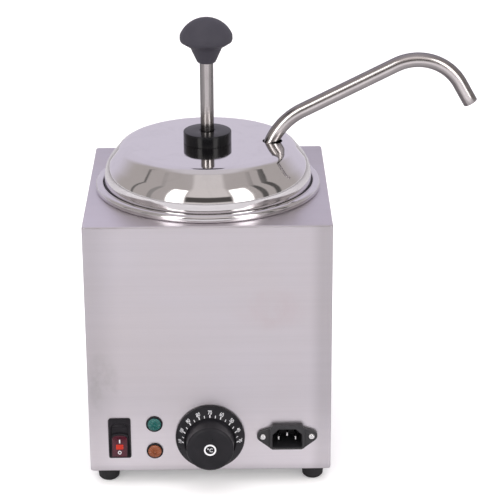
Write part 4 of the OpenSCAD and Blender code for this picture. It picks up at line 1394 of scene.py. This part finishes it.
def build_world():
    """Pale walls, two tall softboxes in front and a soft ceiling.

    Elevation and azimuth are in degrees; azimuth 0 is -Y and grows towards +X.
    """
    world = bpy.data.worlds.new("studio")
    scene.world = world
    world.use_nodes = True
    tree = world.node_tree
    background = next(n for n in tree.nodes if n.type == "BACKGROUND")
    k = Nodes(tree)
    x, y, z = k.xyz(k.coords.outputs["Generated"])
    elevation = k.mul(k.math("ARCSINE", z), 180 / math.pi)
    azimuth = k.mul(k.math("ARCTAN2", x, k.mul(y, -1.0)), 180 / math.pi)

    def band(value, low, high, soft):
        return k.mul(
            k.span(value, within=(low - soft, low + soft), to=(0, 1), smooth=True),
            k.span(value, within=(high - soft, high + soft), to=(1, 0), smooth=True))

    def below(low, high):
        return k.span(elevation, within=(low, high), to=(1, 0), smooth=True)

    # walls, from the warm front to the cool back
    behind = k.span(k.math("ABSOLUTE", azimuth), within=(108, 140), smooth=True)
    colour = k.mix(behind, (0.46, 0.425, 0.415), (0.69, 0.65, 0.755))
    for start, end, grey in STRIPS:
        strip = k.mul(band(azimuth, start, end, soft=1.0), below(40, 54))
        colour = k.mix(strip, colour, (grey, grey * 0.95, grey * 0.93))
    middle = k.mul(band(azimuth, -24, 26, soft=4), below(58, 70))
    colour = k.mix(middle, colour, (0.70, 0.655, 0.645))
    dark = k.mul(band(azimuth, -25, 27, soft=2.5), band(elevation, 4, 23, soft=2.5))
    colour = k.mix(dark, colour, (0.085, 0.078, 0.075))
    left, right = (
        k.mul(band(azimuth, start, end, soft=2.5), band(elevation, -3, 46, soft=4))
        for start, end in ((-46, -27), (29, 50)))
    colour = k.mix(k.add(left, right, clamp=True), colour, (3.1, 3.05, 3.0))
    ceiling = k.span(elevation, within=(54, 74), smooth=True)
    colour = k.mix(ceiling, colour, (0.66, 0.625, 0.66))
    ground = k.span(elevation, within=(-0.5, -2.0))
    colour = k.mix(ground, colour, (0.93, 0.92, 0.93))
    k.put(background.inputs["Color"], colour)
    background.inputs["Strength"].default_value = 1.0
    world.cycles.sampling_method = "MANUAL"
    world.cycles.sample_map_resolution = 1024


build_world()

# ------------------------------------------------------------------ lights

# name, location, target (metres), size (metres), power (watts); none shows in reflections
LIGHTS = [
    ("top_soft", (-0.2, 0.1, 2.4), (-0.1, 0.1, 0.1), (3.4, 3.4), 46),
    ("front_fill", (0, -2.3, 1.0), (0, 0, 0.05), (2.8, 1.6), 19),
    ("left_fill", (-2.2, -0.5, 0.9), (0, 0, 0.05), (2.0, 1.4), 15),
    ("right_fill", (2.2, -0.5, 0.9), (0, 0, 0.05), (2.0, 1.4), 15),
]

for name, location, target, size, power in LIGHTS:
    light = bpy.data.lights.new(name, "AREA")
    light.shape = "RECTANGLE"
    light.size, light.size_y = size
    light.energy = power
    light.color = (1, 1, 1)
    lamp = bpy.data.objects.new(name, light)
    lamp.location = location
    aim = Vector(target) - Vector(location)
    lamp.rotation_euler = aim.to_track_quat("-Z", "Y").to_euler()
    lamp.visible_glossy = False
    scene.collection.objects.link(lamp)

# ------------------------------------------------------------------ camera and render

CAMERA_AT = (0.016542, -1.534171, 0.775840)    # metres
# radians: downwards from level, towards +X from +Y, and about the view
PITCH, YAW, ROLL = 0.37598106124841507, 0.011975754173122384, 0.005373237190879205

forward = Vector((
    math.sin(YAW) * math.cos(PITCH), math.cos(YAW) * math.cos(PITCH), -math.sin(PITCH)))
level_right = Vector((math.cos(YAW), -math.sin(YAW), 0))
level_down = forward.cross(level_right)
view_right = level_right * math.cos(ROLL) + level_down * math.sin(ROLL)
view_down = level_right * -math.sin(ROLL) + level_down * math.cos(ROLL)

camera_data = bpy.data.cameras.new("camera")
camera_data.sensor_width = 36
camera_data.sensor_fit = "HORIZONTAL"
camera_data.lens = 139.386
camera_data.clip_start = 0.05
camera_data.clip_end = 30
camera = bpy.data.objects.new("camera", camera_data)
rotation = Matrix((view_right, -view_down, -forward)).transposed()
camera.matrix_world = Matrix.Translation(CAMERA_AT) @ rotation.to_4x4()
scene.collection.objects.link(camera)
scene.camera = camera

scene.view_settings.view_transform = "Standard"
scene.view_settings.look = "None"
scene.view_settings.exposure = 0.0
scene.cycles.max_bounces = 10
scene.cycles.glossy_bounces = 6
scene.cycles.diffuse_bounces = 4
scene.cycles.transmission_bounces = 8
